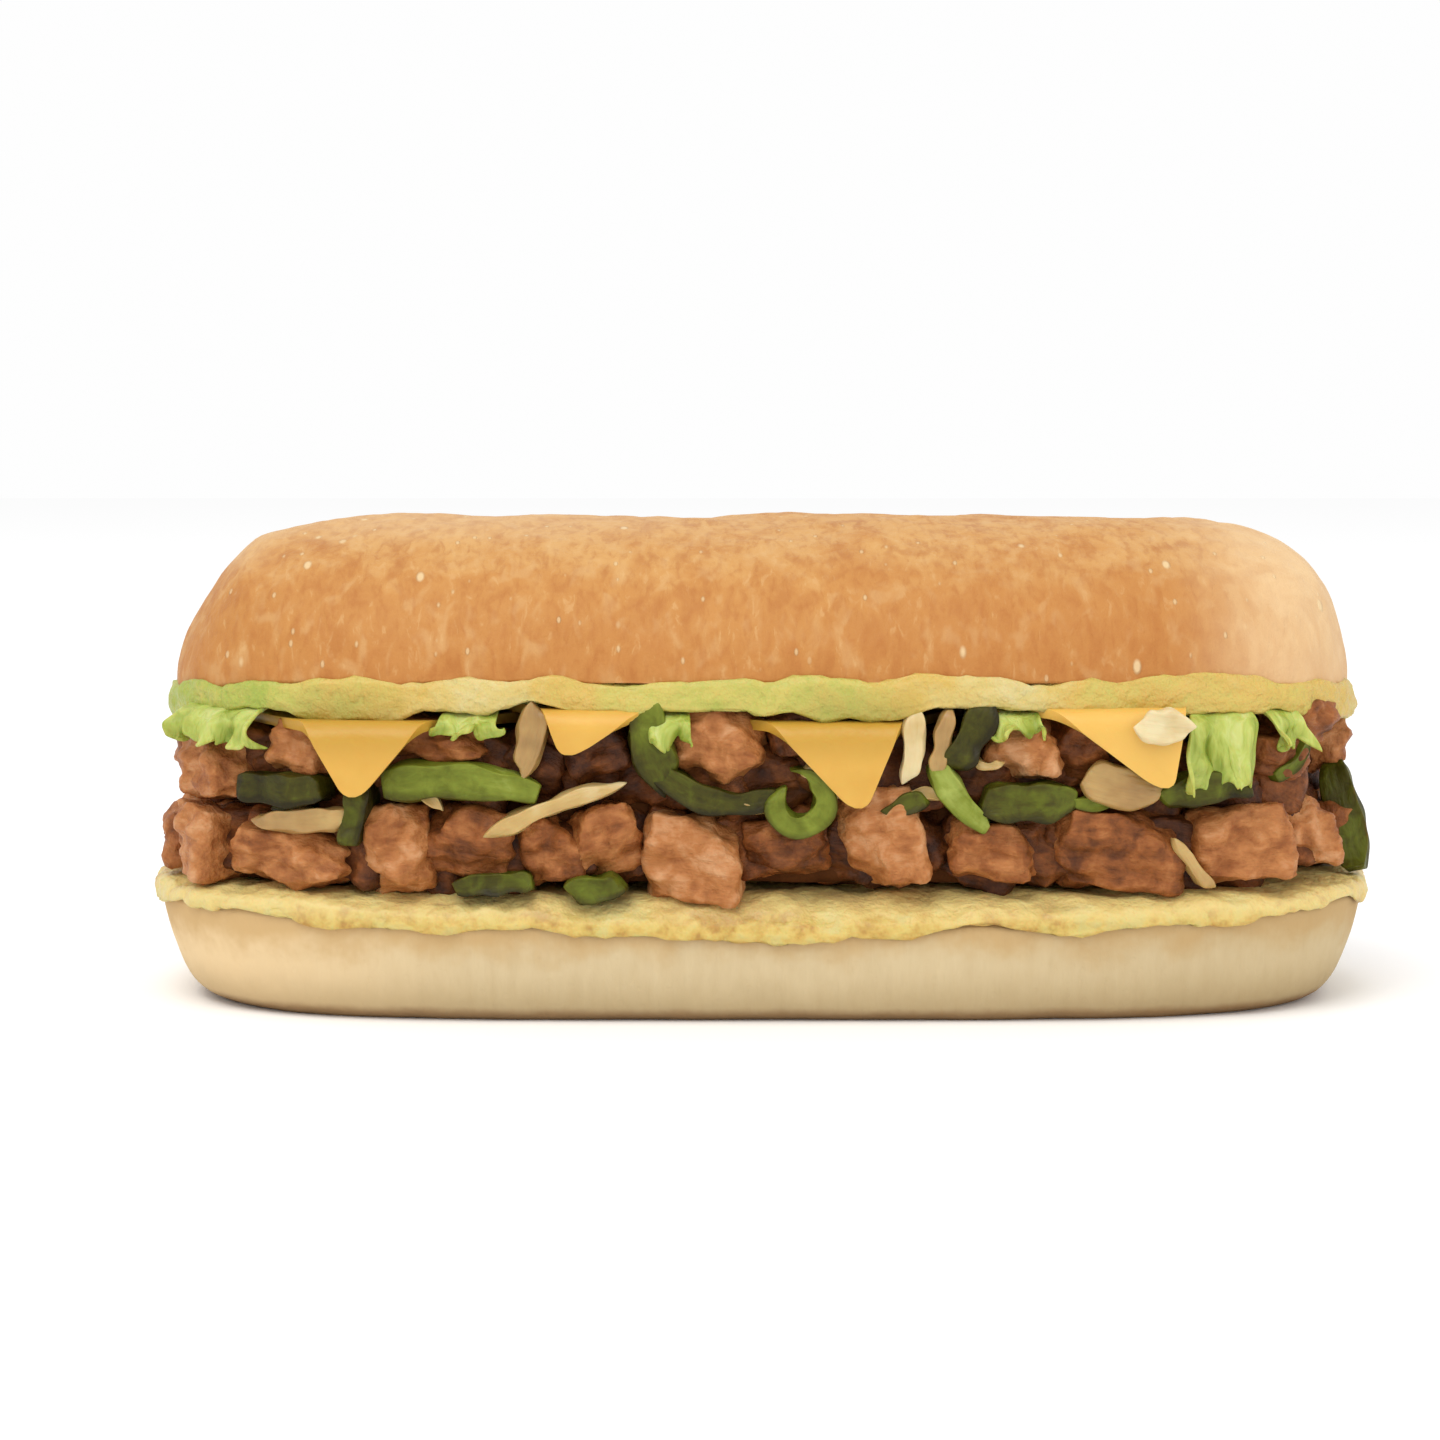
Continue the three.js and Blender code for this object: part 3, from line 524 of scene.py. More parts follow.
class Paint:
    """A material, with short words for its nodes. Gain brightens or dims all its colours."""

    def __init__(self, name, gain, roughness, coat=0.0, subsurface=0.0, specular=0.5):
        self.gain = gain
        self.material = bpy.data.materials.new(name)
        self.material.use_nodes = True
        self.tree = self.material.node_tree
        self.shader = self.tree.nodes["Principled BSDF"]
        self.shader.inputs["Roughness"].default_value = roughness
        self.shader.inputs["Coat Weight"].default_value = coat
        self.shader.inputs["Coat Roughness"].default_value = 0.2
        self.shader.inputs["Subsurface Weight"].default_value = subsurface
        self.shader.inputs["Subsurface Scale"].default_value = 0.002
        self.shader.inputs["Specular IOR Level"].default_value = specular
        self.place = self.millimetres(self.node("ShaderNodeTexCoord", output="Object"))

    def node(self, kind, settings=None, sockets=None, output=0):
        """A node with its settings first, then the values or wires of its sockets."""
        node = self.tree.nodes.new(kind)
        for key, value in (settings or {}).items():
            if key == "stops":
                self.set_stops(node.color_ramp, value)
            else:
                setattr(node, key, value)
        for key, value in (sockets or {}).items():
            self.feed(node.inputs[key], value)
        return Wire(self, node.outputs[output])

    def set_stops(self, ramp, stops):
        """Place a ramp's colours."""
        for _ in stops[2:]:
            ramp.elements.new(0.5)
        for element, (position, colour) in zip(ramp.elements, stops):
            element.position = position
            element.color = self.dye(colour)

    def dye(self, colour):
        """A hex code, or a colour of the look, with the gain; a wire stays as it is."""
        if isinstance(colour, Wire):
            return colour
        linear = tint(colour) if isinstance(colour, str) else colour
        return (*(min(1.0, self.gain * part) for part in linear), 1.0)

    def feed(self, socket, value):
        """Link a wire to a socket, or set its number."""
        if isinstance(value, Wire):
            self.tree.links.new(value.socket, socket)
        else:
            socket.default_value = value

    def millimetres(self, vector):
        """Coordinates in millimetres."""
        return self.stretched(vector, 1000, 1000, 1000)

    def stretched(self, vector, x, y, z):
        """Coordinates scaled by a number for each direction."""
        return self.node("ShaderNodeVectorMath", {"operation": "MULTIPLY"}, {0: vector, 1: (x, y, z)})

    def field(self, name, output="Fac"):
        """A value that the mesh keeps for each point."""
        return self.node("ShaderNodeAttribute", {"attribute_name": name}, output=output)

    def part(self, vector, axis):
        """The X, Y or Z of a vector."""
        return self.node("ShaderNodeSeparateXYZ", None, {0: vector}, axis)

    def axes(self, names):
        """Where a point lies along each named axis, in millimetres."""
        return [self.part(self.place, name) for name in names]

    def clouds(self, vector, size, detail=2.0, rough=0.5, warp=0.0):
        """Soft noise from 0 to 1 with features of a size."""
        sockets = {"Vector": vector, "Scale": 1 / size, "Detail": detail, "Roughness": rough,
                   "Distortion": warp}
        return self.node("ShaderNodeTexNoise", None, sockets)

    def cells(self, vector, size, output="Distance"):
        """Distance to the nearest of scattered points, in shares of their spacing."""
        return self.node("ShaderNodeTexVoronoi", None, {"Vector": vector, "Scale": 1 / size}, output)

    def between(self, value, low, high, start=0.0, end=1.0):
        """A smooth step from start to end as a value goes from low to high."""
        sockets = {0: value, 1: low, 2: high, 3: start, 4: end}
        return self.node("ShaderNodeMapRange", {"interpolation_type": "SMOOTHSTEP"}, sockets)

    def mix(self, share, first, second):
        """Two colours mixed by a share."""
        sockets = {0: share, 6: self.dye(first), 7: self.dye(second)}
        return self.node("ShaderNodeMix", {"data_type": "RGBA"}, sockets, 2)

    def ramp(self, value, *stops):
        """A colour that runs through stops."""
        return self.node("ShaderNodeValToRGB", {"stops": stops}, {0: value}, "Color")

    def relief(self, height, depth, under=None):
        """A normal from a height between 0 and 1 that stands for a depth in millimetres."""
        sockets = {"Height": height, "Distance": depth * MM, "Strength": 1.0}
        if under:
            sockets["Normal"] = under
        return self.node("ShaderNodeBump", None, sockets)

    def finish(self, colour, normal=None, roughness=None, coat=None):
        """Connect the shader and hand the material over."""
        self.feed(self.shader.inputs["Base Color"], self.dye(colour))
        for name, value in (("Normal", normal), ("Roughness", roughness), ("Coat Weight", coat)):
            if value is not None:
                self.feed(self.shader.inputs[name], value)
        return self.material


def crust_material(look):
    """Golden brown baked crust: fine wrinkles, pale flecks, paler top and right end."""
    paint = Paint("Crust", look.brightness, 0.55, specular=0.3)
    x, z = paint.axes("XZ")
    streaks = paint.clouds(paint.stretched(paint.place, 1, 0.4, 0.4), 1.3, 3, 0.6, 0.4)
    mottle = paint.clouds(paint.place, 8, 3, 0.6, 0.6)
    grain = paint.clouds(paint.place, 0.6, 2, 0.6)
    # The ramp by height makes the top paler: partly the crust's own colour, partly painted light from above.
    colour = paint.ramp(
        paint.between(z, 42, 64) + (mottle - 0.5) * 1.1,
        (0.0, look.crust), (0.35, "#cc8b45"), (0.7, "#d2924b"), (1.0, "#dfa862"))
    colour = paint.mix(paint.between(streaks, 0.45, 0.7, 0, 0.45), colour, "#b9702f")
    colour = paint.mix(paint.between(streaks, 0.42, 0.28, 0, 0.4), colour, "#e8b87a")
    broad = paint.clouds(paint.stretched(paint.place, 1, 0.7, 0.55), 2.8, 2, 0.5, 0.5)
    colour = paint.mix(paint.between(broad, 0.5, 0.75, 0, 0.45), colour, "#b9702f")
    colour = paint.mix(paint.between(broad, 0.5, 0.28, 0, 0.3), colour, "#eac084")
    # Painted highlights: paler patches on the right end, on the upper left end and along the top of the
    # crown.
    pale = paint.between(x, 50, 70) * paint.between(mottle, 0.25, 0.7, 0.65, 1.0)
    pale = pale + paint.between(x, -60, -74) * paint.between(z, 56, 60) * 0.6
    pale = pale + paint.between(x, 10, -40) * paint.between(z, 60, 63.5) * 0.3
    colour = paint.mix(pale * 0.85, colour, "#f8d5a2")
    deeper = paint.between(x, 5, 30) * paint.between(x, 66, 52) * paint.between(z, 62, 57)
    colour = paint.mix(deeper * 0.2, colour, "#b9702f")
    flecks = 0
    for spacing, most in ((4.4, 0.8), (2.3, 0.55)):
        place = paint.stretched(paint.place, 1, 0.55, 0.55)
        fleck = paint.between(paint.cells(place, spacing), 0.07, 0.15, most, 0)
        chosen = paint.between(paint.part(paint.cells(place, spacing, "Color"), "X"), 0.45, 0.5)
        flecks = flecks + fleck * chosen
    colour = paint.mix(flecks * 0.9, colour, "#f7dba8")
    normal = paint.relief(streaks * 0.7 + grain * 0.35 + flecks * 0.7, 0.3)
    return paint.finish(colour, normal, roughness=0.5 + grain * 0.2)


def heel_material(look):
    """Pale bread side with faint streaks, a toasted rim and a brown line along the base."""
    paint = Paint("Roll side", look.brightness, 0.8, specular=0.2)
    x, z = paint.axes("XZ")
    streaks = paint.clouds(paint.stretched(paint.place, 1, 0.3, 0.2), 1.6, 3, 0.6)
    patch = paint.clouds(paint.place, 6, 3, 0.6)
    pores = paint.between(paint.cells(paint.place, 1.7), 0.12, 0.3, 1, 0)
    colour = paint.mix(streaks, look.bread, "#ebd6ab")
    colour = paint.mix(paint.between(x, -30, -76), colour, "#fbdcaa")
    toasted = paint.between(z + (patch - 0.5) * 8, 7.4, 12.5)
    colour = paint.mix(toasted * 0.65, colour, "#cfa465")
    shade = paint.between(z + (patch - 0.5) * 3, 7.5, 1.5) * 0.4 + paint.between(x, 15, 60) * 0.2
    colour = paint.mix(shade, colour, "#a98e60")
    base = paint.between(z + (patch - 0.5) * 1.2, 2.1, 0.7)
    colour = paint.mix(base * 0.65, colour, "#8f6237")
    normal = paint.relief(streaks * 0.6 + (1 - pores) * 0.08, 0.3)
    return paint.finish(colour, normal)


def sauce_material(look):
    """Yellow sauce in lumps, with slow changes of tone."""
    paint = Paint("Sauce", look.brightness, 0.4, coat=0.12, subsurface=0.15, specular=0.35)
    patch = paint.clouds(paint.place, 6, 3, 0.6, 0.4)
    fine = paint.clouds(paint.place, 1.4, 2, 0.6)
    colour = paint.ramp(paint.between(patch + (fine - 0.5) * 0.45, 0.28, 0.72),
                        (0.0, "#bf9044"), (0.3, "#d9b35a"), (0.7, look.sauce), (1.0, "#dfcb7c"))
    # Painted light: the upper part of the sauce, which the overhanging steak shades, is made paler.
    painted_light_top = paint.between(paint.part(paint.place, "Z"), 12.5, 15.5, 0, 0.5)
    colour = paint.mix(painted_light_top, colour, "#f8e19a")
    return paint.finish(colour, paint.relief(fine, 0.5), roughness=0.35 + fine * 0.25)


def pale_sauce_material(look):
    """Sauce that runs from lime green through yellow to cream, olive where it sags over cheese."""
    paint = Paint("Pale sauce", look.brightness, 0.4, coat=0.12, subsurface=0.15, specular=0.35)
    tone, sag = paint.field("tone"), paint.field("sag")
    patch = paint.clouds(paint.place, 4, 3, 0.6, 0.4)
    fine = paint.clouds(paint.place, 1.1, 2, 0.6)
    colour = paint.ramp(tone + (patch - 0.5) * 0.7 + (fine - 0.5) * 0.25,
                        (0.0, "#aeb94c"), (0.25, "#d2c462"), (0.5, "#ddb95c"), (0.75, "#e0c87a"),
                        (1.0, "#e4d398"))
    # Painted shade: the 'sag' value darkens the lip to olive where it hangs over the lower slices of cheese.
    colour = paint.mix(sag * 0.45, colour, "#8c8420")
    return paint.finish(colour, paint.relief(fine + patch, 0.5), roughness=0.35 + fine * 0.25)


def steak_material(look):
    """Browned meat: fibres along each chunk, seared edges, a moist gloss."""
    paint = Paint("Steak", look.brightness, 0.5, coat=0.04, subsurface=0.08, specular=0.25)
    grain, tone = paint.field("grain", "Vector"), paint.field("tone")
    fibres = paint.clouds(paint.stretched(grain, 0.3, 1, 1), 1.1, 4, 0.6, 0.3)
    patch = paint.clouds(grain, 3.2, 3, 0.55, 0.4)
    speck = paint.clouds(grain, 0.6, 2, 0.6)
    level = tone + (patch - 0.5) * 1.1 + (fibres - 0.5) * 0.5
    colour = paint.ramp(level, (0.0, "#3f1c06"), (0.25, "#6c3912"), (0.5, "#9c5a28"), (0.74, "#c47f46"),
                        (1.0, "#e0a674"))
    normal = paint.relief(fibres * 0.8 + patch * 0.5 + speck * 0.25, 0.6)
    return paint.finish(colour, normal, roughness=0.42 + fibres * 0.3)


def core_material(look):
    """The dark depth of the filling between its pieces."""
    paint = Paint("Filling depth", look.brightness, 0.8, specular=0.1)
    patch = paint.clouds(paint.place, 4, 3, 0.6)
    # Painted shade: the core is nearly black-brown so that the gaps between the pieces look deep.
    colour = paint.mix(patch, "#2c1507", "#75441f")
    return paint.finish(colour, paint.relief(patch, 1.0))


def pepper_material(look):
    """Grilled green pepper: dark skin, paler flesh, a few scorched spots."""
    paint = Paint("Green pepper", look.brightness, 0.5, subsurface=0.1, specular=0.2)
    grain, tone = paint.field("grain", "Vector"), paint.field("tone")
    skin = paint.field("skin")
    patch = paint.clouds(grain, 2.8, 3, 0.6, 0.5)
    lines = paint.clouds(paint.stretched(grain, 0.25, 1, 1), 0.7, 2, 0.5)
    level = tone + (patch - 0.5) * 0.7 + (lines - 0.5) * 0.2 - skin * 0.3
    colour = paint.ramp(level, (0.0, "#2c2604"), (0.25, "#4b480b"), (0.5, "#68701a"), (0.75, "#879230"),
                        (1.0, "#a9b456"))
    return paint.finish(colour, paint.relief(lines * 0.4 + patch * 0.5, 0.5), roughness=0.35 + patch * 0.25)


def onion_material(look):
    """Grilled onion: glassy, from browned to pale, with lines along it."""
    paint = Paint("Onion", look.brightness, 0.35, coat=0.12, subsurface=0.2, specular=0.4)
    grain, tone = paint.field("grain", "Vector"), paint.field("tone")
    lines = paint.clouds(paint.stretched(grain, 0.15, 1, 1.4), 0.6, 2, 0.5)
    patch = paint.clouds(grain, 3, 2, 0.5)
    level = tone + (lines - 0.5) * 0.16 + (patch - 0.5) * 0.5
    colour = paint.ramp(level, (0.0, "#7d5827"), (0.35, "#b58e52"), (0.65, "#d3b06a"), (1.0, "#f0dfae"))
    return paint.finish(colour, paint.relief(lines * 0.5 + patch, 0.3))


def cheese_material(look):
    """Smooth orange-yellow sliced cheese, slightly soft."""
    paint = Paint("Cheese", look.brightness, 0.42, coat=0.05, subsurface=0.2, specular=0.35)
    patch = paint.clouds(paint.place, 6, 2, 0.5)
    fine = paint.clouds(paint.place, 0.9, 2, 0.5)
    x, z = paint.axes("XZ")
    colour = paint.mix(patch, "#d9a23a", look.cheese)
    colour = paint.mix(paint.between(x, 30, 44) * 0.6, colour, "#fccb66")
    # Painted shadow: the tops of the two lower slices darken to olive where the sagging sauce above them
    # shades them.
    low_slices = paint.between(x, 30, 24) * paint.between(x, -16, -10) + paint.between(x, -36, -40)
    band_shadow = paint.between(z + (patch - 0.5) * 4, 33, 37.5) * low_slices
    colour = paint.mix(band_shadow * 0.5, colour, "#b98d1e")
    return paint.finish(colour, paint.relief(fine * 0.3 + patch, 0.25))


def lettuce_material(look):
    """Light green leaf, whiter at its rib, darker in its folds and at its rim."""
    paint = Paint("Lettuce", look.brightness, 0.42, coat=0.06, subsurface=0.3, specular=0.35)
    grain, tone = paint.field("grain", "Vector"), paint.field("tone")
    veins = paint.clouds(paint.stretched(grain, 1, 1, 0.35), 1.8, 3, 0.6, 0.6)
    level = tone + (veins - 0.5) * 1.0
    colour = paint.ramp(level, (0.0, "#5f7414"), (0.3, "#98a838"), (0.6, "#c3cd63"), (1.0, "#e9e9a0"))
    return paint.finish(colour, paint.relief(veins, 0.5))


# The pieces

def lower_half(look):
    """The lower half of the roll: flat base, rounded side, cut crumb."""
    around, base, wall, top = 288, 10, 26, 36
    piece, ring, angle = ball("lower_half", around, base + wall + top)
    edge_x, edge_y = outline_at(angle, HEEL["a"], HEEL["b"])
    height = np.clip((ring - base) / wall, 0, 1) ** WALL_CROWDING
    share = ring_share(ring, base, wall, top)
    lean, foot = ((1 - height) ** part["power"] for part in (LEAN, FOOT))
    x = edge_x * share * (1 - (lean * LEAN["x"] + foot * FOOT["x"]) / HEEL["a"])
    y = edge_y * share * (1 - (lean * LEAN["y"] + foot * FOOT["y"]) / HEEL["b"])
    rim = cut_height(edge_x, edge_y, HEEL)
    z = np.where(ring > base + wall, cut_height(x, y, HEEL), rim * height)
    write_points(piece, np.column_stack((x, y, z)))
    roughen(piece, 12, 0.5)
    flatten_base(piece)
    finish_piece(piece, heel_material(look), "roll_side", "roll_lower_half")


def flatten_base(piece):
    """Keep a piece's underside on the surface that it stands on."""
    points = read_points(piece) / MM
    points[:, 2] = np.maximum(points[:, 2], 0)
    write_points(piece, points)


def upper_half(look):
    """The upper half of the roll: cut crumb below, domed crust above."""
    around, under, over = 320, 30, 96
    piece, ring, angle = ball("upper_half", around, under + over)
    edge_x, edge_y = outline_at(angle, CROWN["a"], CROWN["b"])
    share = ring_share(ring, under, 0, over)
    x, y = edge_x * share, edge_y * share
    rise = (SANDWICH_HEIGHT - CROWN_RIM + CRUST_RIPPLE * ripple(x, y)) * dome_height(x, y)
    crust = edge_height(x, CROWN) + cut_ripple(x, y) + np.where(ring == under, 0, rise)
    z = np.where(ring < under, cut_height(x, y, CROWN), crust)
    write_points(piece, np.column_stack((x, y, z)))
    roughen(piece, 14, 0.5)
    roughen(piece, 3.5, 0.25)
    finish_piece(piece, crust_material(look), "roll_crust", "roll_upper_half")


def skin_of_sauce(look, name, half, rings, heights, lip):
    """A skin of sauce on a cut face, with a lip along its edge.

    Rings are counted on its underside, its lip and its top; heights are how far its two faces lie
    above the cut. Lip gives, from its underside to its top, how far out it lies, how far it lies
    above the cut edge, and its share of the drops that run down.
    """
    under, around_lip, _ = rings
    piece, ring, angle = ball(name, SAUCE_AROUND, sum(rings))
    edge_x, edge_y = outline_at(angle, half["a"], half["b"])
    step = ring - under
    flat = (step < 0) | (step > around_lip)
    share = ring_share(ring, *rings)
    turn = np.clip(step / around_lip, 0, 1)
    out, above, run = (np.interp(turn, np.linspace(0, 1, len(lip)), column) for column in zip(*lip))
    edge = np.column_stack((edge_x, edge_y, 0 * edge_x))
    rough = uneven(edge, 5, half["rim"])
    swell = half["swell"] * (0.5 + uneven(edge, 7, half["crumb"]))
    above = above + swell * np.clip(turn * 2 - 1, 0, 1)
    grown = 1 + np.where(flat, 0, out) / np.maximum(np.hypot(edge_x, edge_y), 1)
    x, y = edge_x * share * grown, edge_y * share * grown
    wave = look.sauce_drop / MM * wavy_run(angle)
    drop = run * (DROP_LEAST + wave + DROP_ROUGH * rough + sag(edge_x) * half["sag"])
    face = cut_height(edge_x * share, edge_y * share, half) + np.where(step < 0, *heights)
    face = face + np.where(step > 0, swell * np.clip(share * 4 - 3, 0, 1), 0)
    z = np.where(flat, face, cut_height(edge_x, edge_y, half) + above - drop)
    write_points(piece, np.column_stack((x, y, z)))
    write_values(piece, "tone", np.interp(edge_x, BAND_PLACES, BAND_TONES))
    # Painted shade for the underside of the lip where it sags over the lower slices of cheese, kept as the
    # 'sag' value.
    sag_shade_share = np.where(flat, 0, np.interp(turn, (0, 0.5, 0.8), (0.9, 0.8, 0)))
    write_values(piece, "sag", sag(edge_x) / SAG_DEEP * sag_shade_share)
    roughen(piece, 2.2, 1.1)
    roughen(piece, 6, 0.8)
    return piece


def lower_sauce(look):
    """The sauce on the lower half, running over its edge in slow drops."""
    lip = ((GAP, GAP, 0), (0.4, 0.2, 1), (0.8, 0.2, 0.9), (0.95, 0.4, 0.4), (0.6, 1, 0))
    piece = skin_of_sauce(look, "lower_sauce", HEEL, (24, 14, 26), (GAP, SAUCE_THICK), lip)
    finish_piece(piece, sauce_material(look), "sauce", "sauce_lower")


def upper_sauce(look):
    """The pale sauce under the upper half, with a wavy bead along its edge."""
    lip = ((0.2, -2.9, 1), (0.9, -2.7, 0.9), (1.05, -1.7, 0.7), (0.85, -0.6, 0), (0.45, -GAP, 0))
    piece = skin_of_sauce(look, "upper_sauce", CROWN, (20, 16, 20), (-GAP - PALE_SAUCE_THICK, -GAP), lip)
    finish_piece(piece, pale_sauce_material(look), "sauce", "sauce_upper")


def core(name, low, high, inset_x, inset_y):
    """A flat, uneven core between two heights."""
    around, rings = 120, 24
    piece, ring, angle = ball(name, around, rings)
    edge_x, edge_y = outline_at(angle, ROLL_LENGTH / 2 - inset_x, ROLL_WIDTH / 2 - inset_y)
    turn = ring / rings * math.pi
    share = np.clip(1.25 * np.sin(turn), 0, 1)
    level = np.clip(0.5 - 0.9 * np.cos(turn), 0, 1)
    write_points(piece, np.column_stack((edge_x * share, edge_y * share, low + (high - low) * level)))
    roughen(piece, 5, 1.5)
    return piece


def chunk_kind(number):
    """One kind of steak chunk: a block with faces cut off at random, roughened like torn meat."""
    draw = random.Random(40 + number)
    start_alone()
    bpy.ops.mesh.primitive_cube_add(size=2)
    piece = named(f"chunk_kind_{number}")
    for _ in range(CHUNK_CUTS):
        away = Vector((draw.uniform(-1, 1), draw.uniform(-1, 1), draw.uniform(-1, 1))).normalized()
        place = away * draw.uniform(*CHUNK_CUT_DEEP)
        edit(bpy.ops.mesh.bisect, plane_co=place, plane_no=away, use_fill=True, clear_outer=True)
    modify(piece, "REMESH", mode="VOXEL", voxel_size=CHUNK_FINENESS)
    modify(piece, "SMOOTH", factor=0.6, iterations=4)
    for size, strength in CHUNK_RELIEF:
        roughen(piece, size, strength, unit=1)
    points = read_points(piece)
    x, y, z = points.T
    fibre = 0.05 * np.sin(y * 11 + 2 * np.sin(x * 2)) * np.sin(z * 9 + number)
    points += fibre[:, None] * points / np.maximum(np.linalg.norm(points, axis=1), 0.1)[:, None]
    piece.data.vertices.foreach_set("co", points.ravel())
    return piece


def place_chunk(kinds, pose, size, tone, draw):
    """A copy of a chunk at its place, with its own grain and tone."""
    piece = copy_of(draw.choice(kinds))
    points = read_points(piece)
    half = np.array(size) / 2 * CHUNK_FULL
    reach = np.abs(points).max(axis=0)
    local = points / reach * half
    offset = np.array([draw.uniform(0, 500) for _ in range(3)])
    write_values(piece, "grain", local + offset)
    edge = np.abs(points / reach).max(axis=1)
    write_values(piece, "tone", tone + 0.15 * (edge - 0.8))
    write_posed(piece, local, pose)
    return piece


def chunk_pose(spot, z, tilt, inset, draw, end=0, half=False):
    """The pose of a chunk at the roll's edge."""
    turn = (Matrix.Rotation(math.radians(draw.uniform(-CHUNK_NOD, CHUNK_NOD)), 4, "X")
            @ Matrix.Rotation(math.radians(-tilt), 4, "Y")
            @ Matrix.Rotation(math.radians(draw.uniform(-CHUNK_TWIST, CHUNK_TWIST)), 4, "Z"))
    lift = Matrix.Translation((0, STEAK_DEEP / 2 + inset, 0))
    return edge_frame(spot, z, end, half) @ lift @ turn


def inner_chunks(kinds, seed, reach, end=0, half=False):
    """Darker chunks behind the first ones, along a side or across an end."""
    draw = random.Random(seed)
    pieces = []
    for row in INNER_ROWS:
        spot = -reach + draw.uniform(0, 5)
        while spot < reach:
            wide = draw.uniform(*INNER_WIDE)
            z, tilt = row + draw.uniform(-1, 1), draw.uniform(*INNER_TILT)
            inset = draw.uniform(*INNER_IN) + INNER_END_IN * abs(end)
            pose = chunk_pose(spot, z, tilt, inset, draw, end, half)
            size = (wide * 1.2, 10, draw.uniform(9, 11))
            pieces.append(place_chunk(kinds, pose, size, draw.uniform(*INNER_SHADE_TONE), draw))
            spot += wide * 0.8
    return pieces


def steak(look):
    """The steak filling: its dark core and the chunks that show all round."""
    kinds = [chunk_kind(i) for i in range(CHUNK_KINDS)]
    draw = random.Random(7)
    front = inner_chunks(kinds, 8, INNER_ALONG)
    far = inner_chunks(kinds, 9, INNER_ALONG, half=True)
    ends = [piece for end in (1, -1) for piece in inner_chunks(kinds, 10 + end, INNER_ACROSS, end)]
    for x, z, wide, high, tilt, inset, tone in STEAK:
        pose = chunk_pose(x, z, tilt, inset, draw)
        front.append(place_chunk(kinds, pose, (wide, STEAK_DEEP, high), tone + FRONT_PALER, draw))
    for x, z, wide, high, tilt, inset, tone in STEAK:
        if wide > BACK_CHUNK:
            pose = chunk_pose(x, z, tilt, inset, draw, half=True)
            far.append(place_chunk(kinds, pose, (wide, STEAK_DEEP, high), tone, draw))
    for end in (1, -1):
        for y, z, wide, high, tilt in END_STEAK:
            inset = draw.uniform(0, 1) + END_UPPER_IN * (z > END_UPPER_ROW)
            pose = chunk_pose(y, z, tilt * end, inset, draw, end=end)
            ends.append(place_chunk(kinds, pose, (wide, STEAK_DEEP, high), draw.uniform(*END_TONE), draw))
    for kind in kinds:
        bpy.data.objects.remove(kind)
    material = steak_material(look)
    for name, pieces in (("front", front), ("far", far), ("ends", ends)):
        piece = join("steak_chunks_" + name, pieces)
        finish_piece(piece, material, "steak", "steak_filling")
    middle = core("steak_core", STEAK_LOW, STEAK_TOP, CORE_INSET_X, CORE_INSET_Y)
    finish_piece(middle, core_material(look), "steak", "steak_filling")


def strip(spot, draw, end=0, half=False, square=0.8, groove=0.5, proud=PROUD, nod=0, narrow=0.35,
          cuts=STRIP_CUTS):
    """A bent, uneven strip that lies along the roll's edge, with slanting ends and a hollow face.

    Square is how square its section is, groove how hollow its face, proud how far it stands out, nod
    how far its top leans in, in degrees, and narrow how much it narrows at its ends.
    """
    place, z, long, thick, deep, bend, tilt, left, right = spot
    start_alone()
    bpy.ops.mesh.primitive_cube_add(size=2)
    piece = bpy.context.object
    edit(bpy.ops.mesh.subdivide, number_cuts=cuts)
    cube = read_points(piece)
    u, v, w = cube[:, 0], cube[:, 1], cube[:, 2]
    shift = Vector([draw.uniform(0, 90) for _ in range(3)])
    slant = draw.uniform(-0.2, 0.2)
    swell = np.array([noise.noise(Vector((1.6 * x, 0, 0)) + shift) for x in u])
    taper = (1 - narrow * np.abs(u) ** 6) * (1 + 0.35 * swell)
    across = v * (square + (1 - square) * np.sqrt(1 - w * w / 2)) * taper
    up = w * (square + (1 - square) * np.sqrt(1 - v * v / 2)) * taper
    local = np.column_stack(((u + slant * w * np.abs(u) ** 3) * long / 2, across * deep / 2, up * thick / 2))
    local[:, 1] += groove * (1 - w * w) * (v < -0.5) * (1 - u ** 4)
    wobble = np.array([noise.noise(Vector(point) / STRIP_LUMP + shift) for point in local])
    local += np.outer(wobble, STRIP_WOBBLE)
    write_values(piece, "grain", local + np.array(shift))
    write_values(piece, "tone", left + (right - left) * (u + 1) / 2)
    write_values(piece, "skin", np.clip(-w * 1.6 - 0.6, 0, 1))
    curl = math.radians(bend)
    radius = long / curl
    angle = local[:, 0] / radius
    reach = radius - local[:, 2]
    bent = np.column_stack((reach * np.sin(angle), local[:, 1], radius - reach * np.cos(angle)))
    if abs(bend) > 180:
        bent[:, 2] -= radius * 0.6
    turn = Matrix.Rotation(math.radians(-nod), 4, "X") @ Matrix.Rotation(math.radians(-tilt), 4, "Y")
    lift = Matrix.Translation((0, deep / 2 - proud, 0))
    write_posed(piece, bent, edge_frame(place, z, end, half) @ lift @ turn)
    modify(piece, "SUBSURF", levels=1, render_levels=1)
    return piece


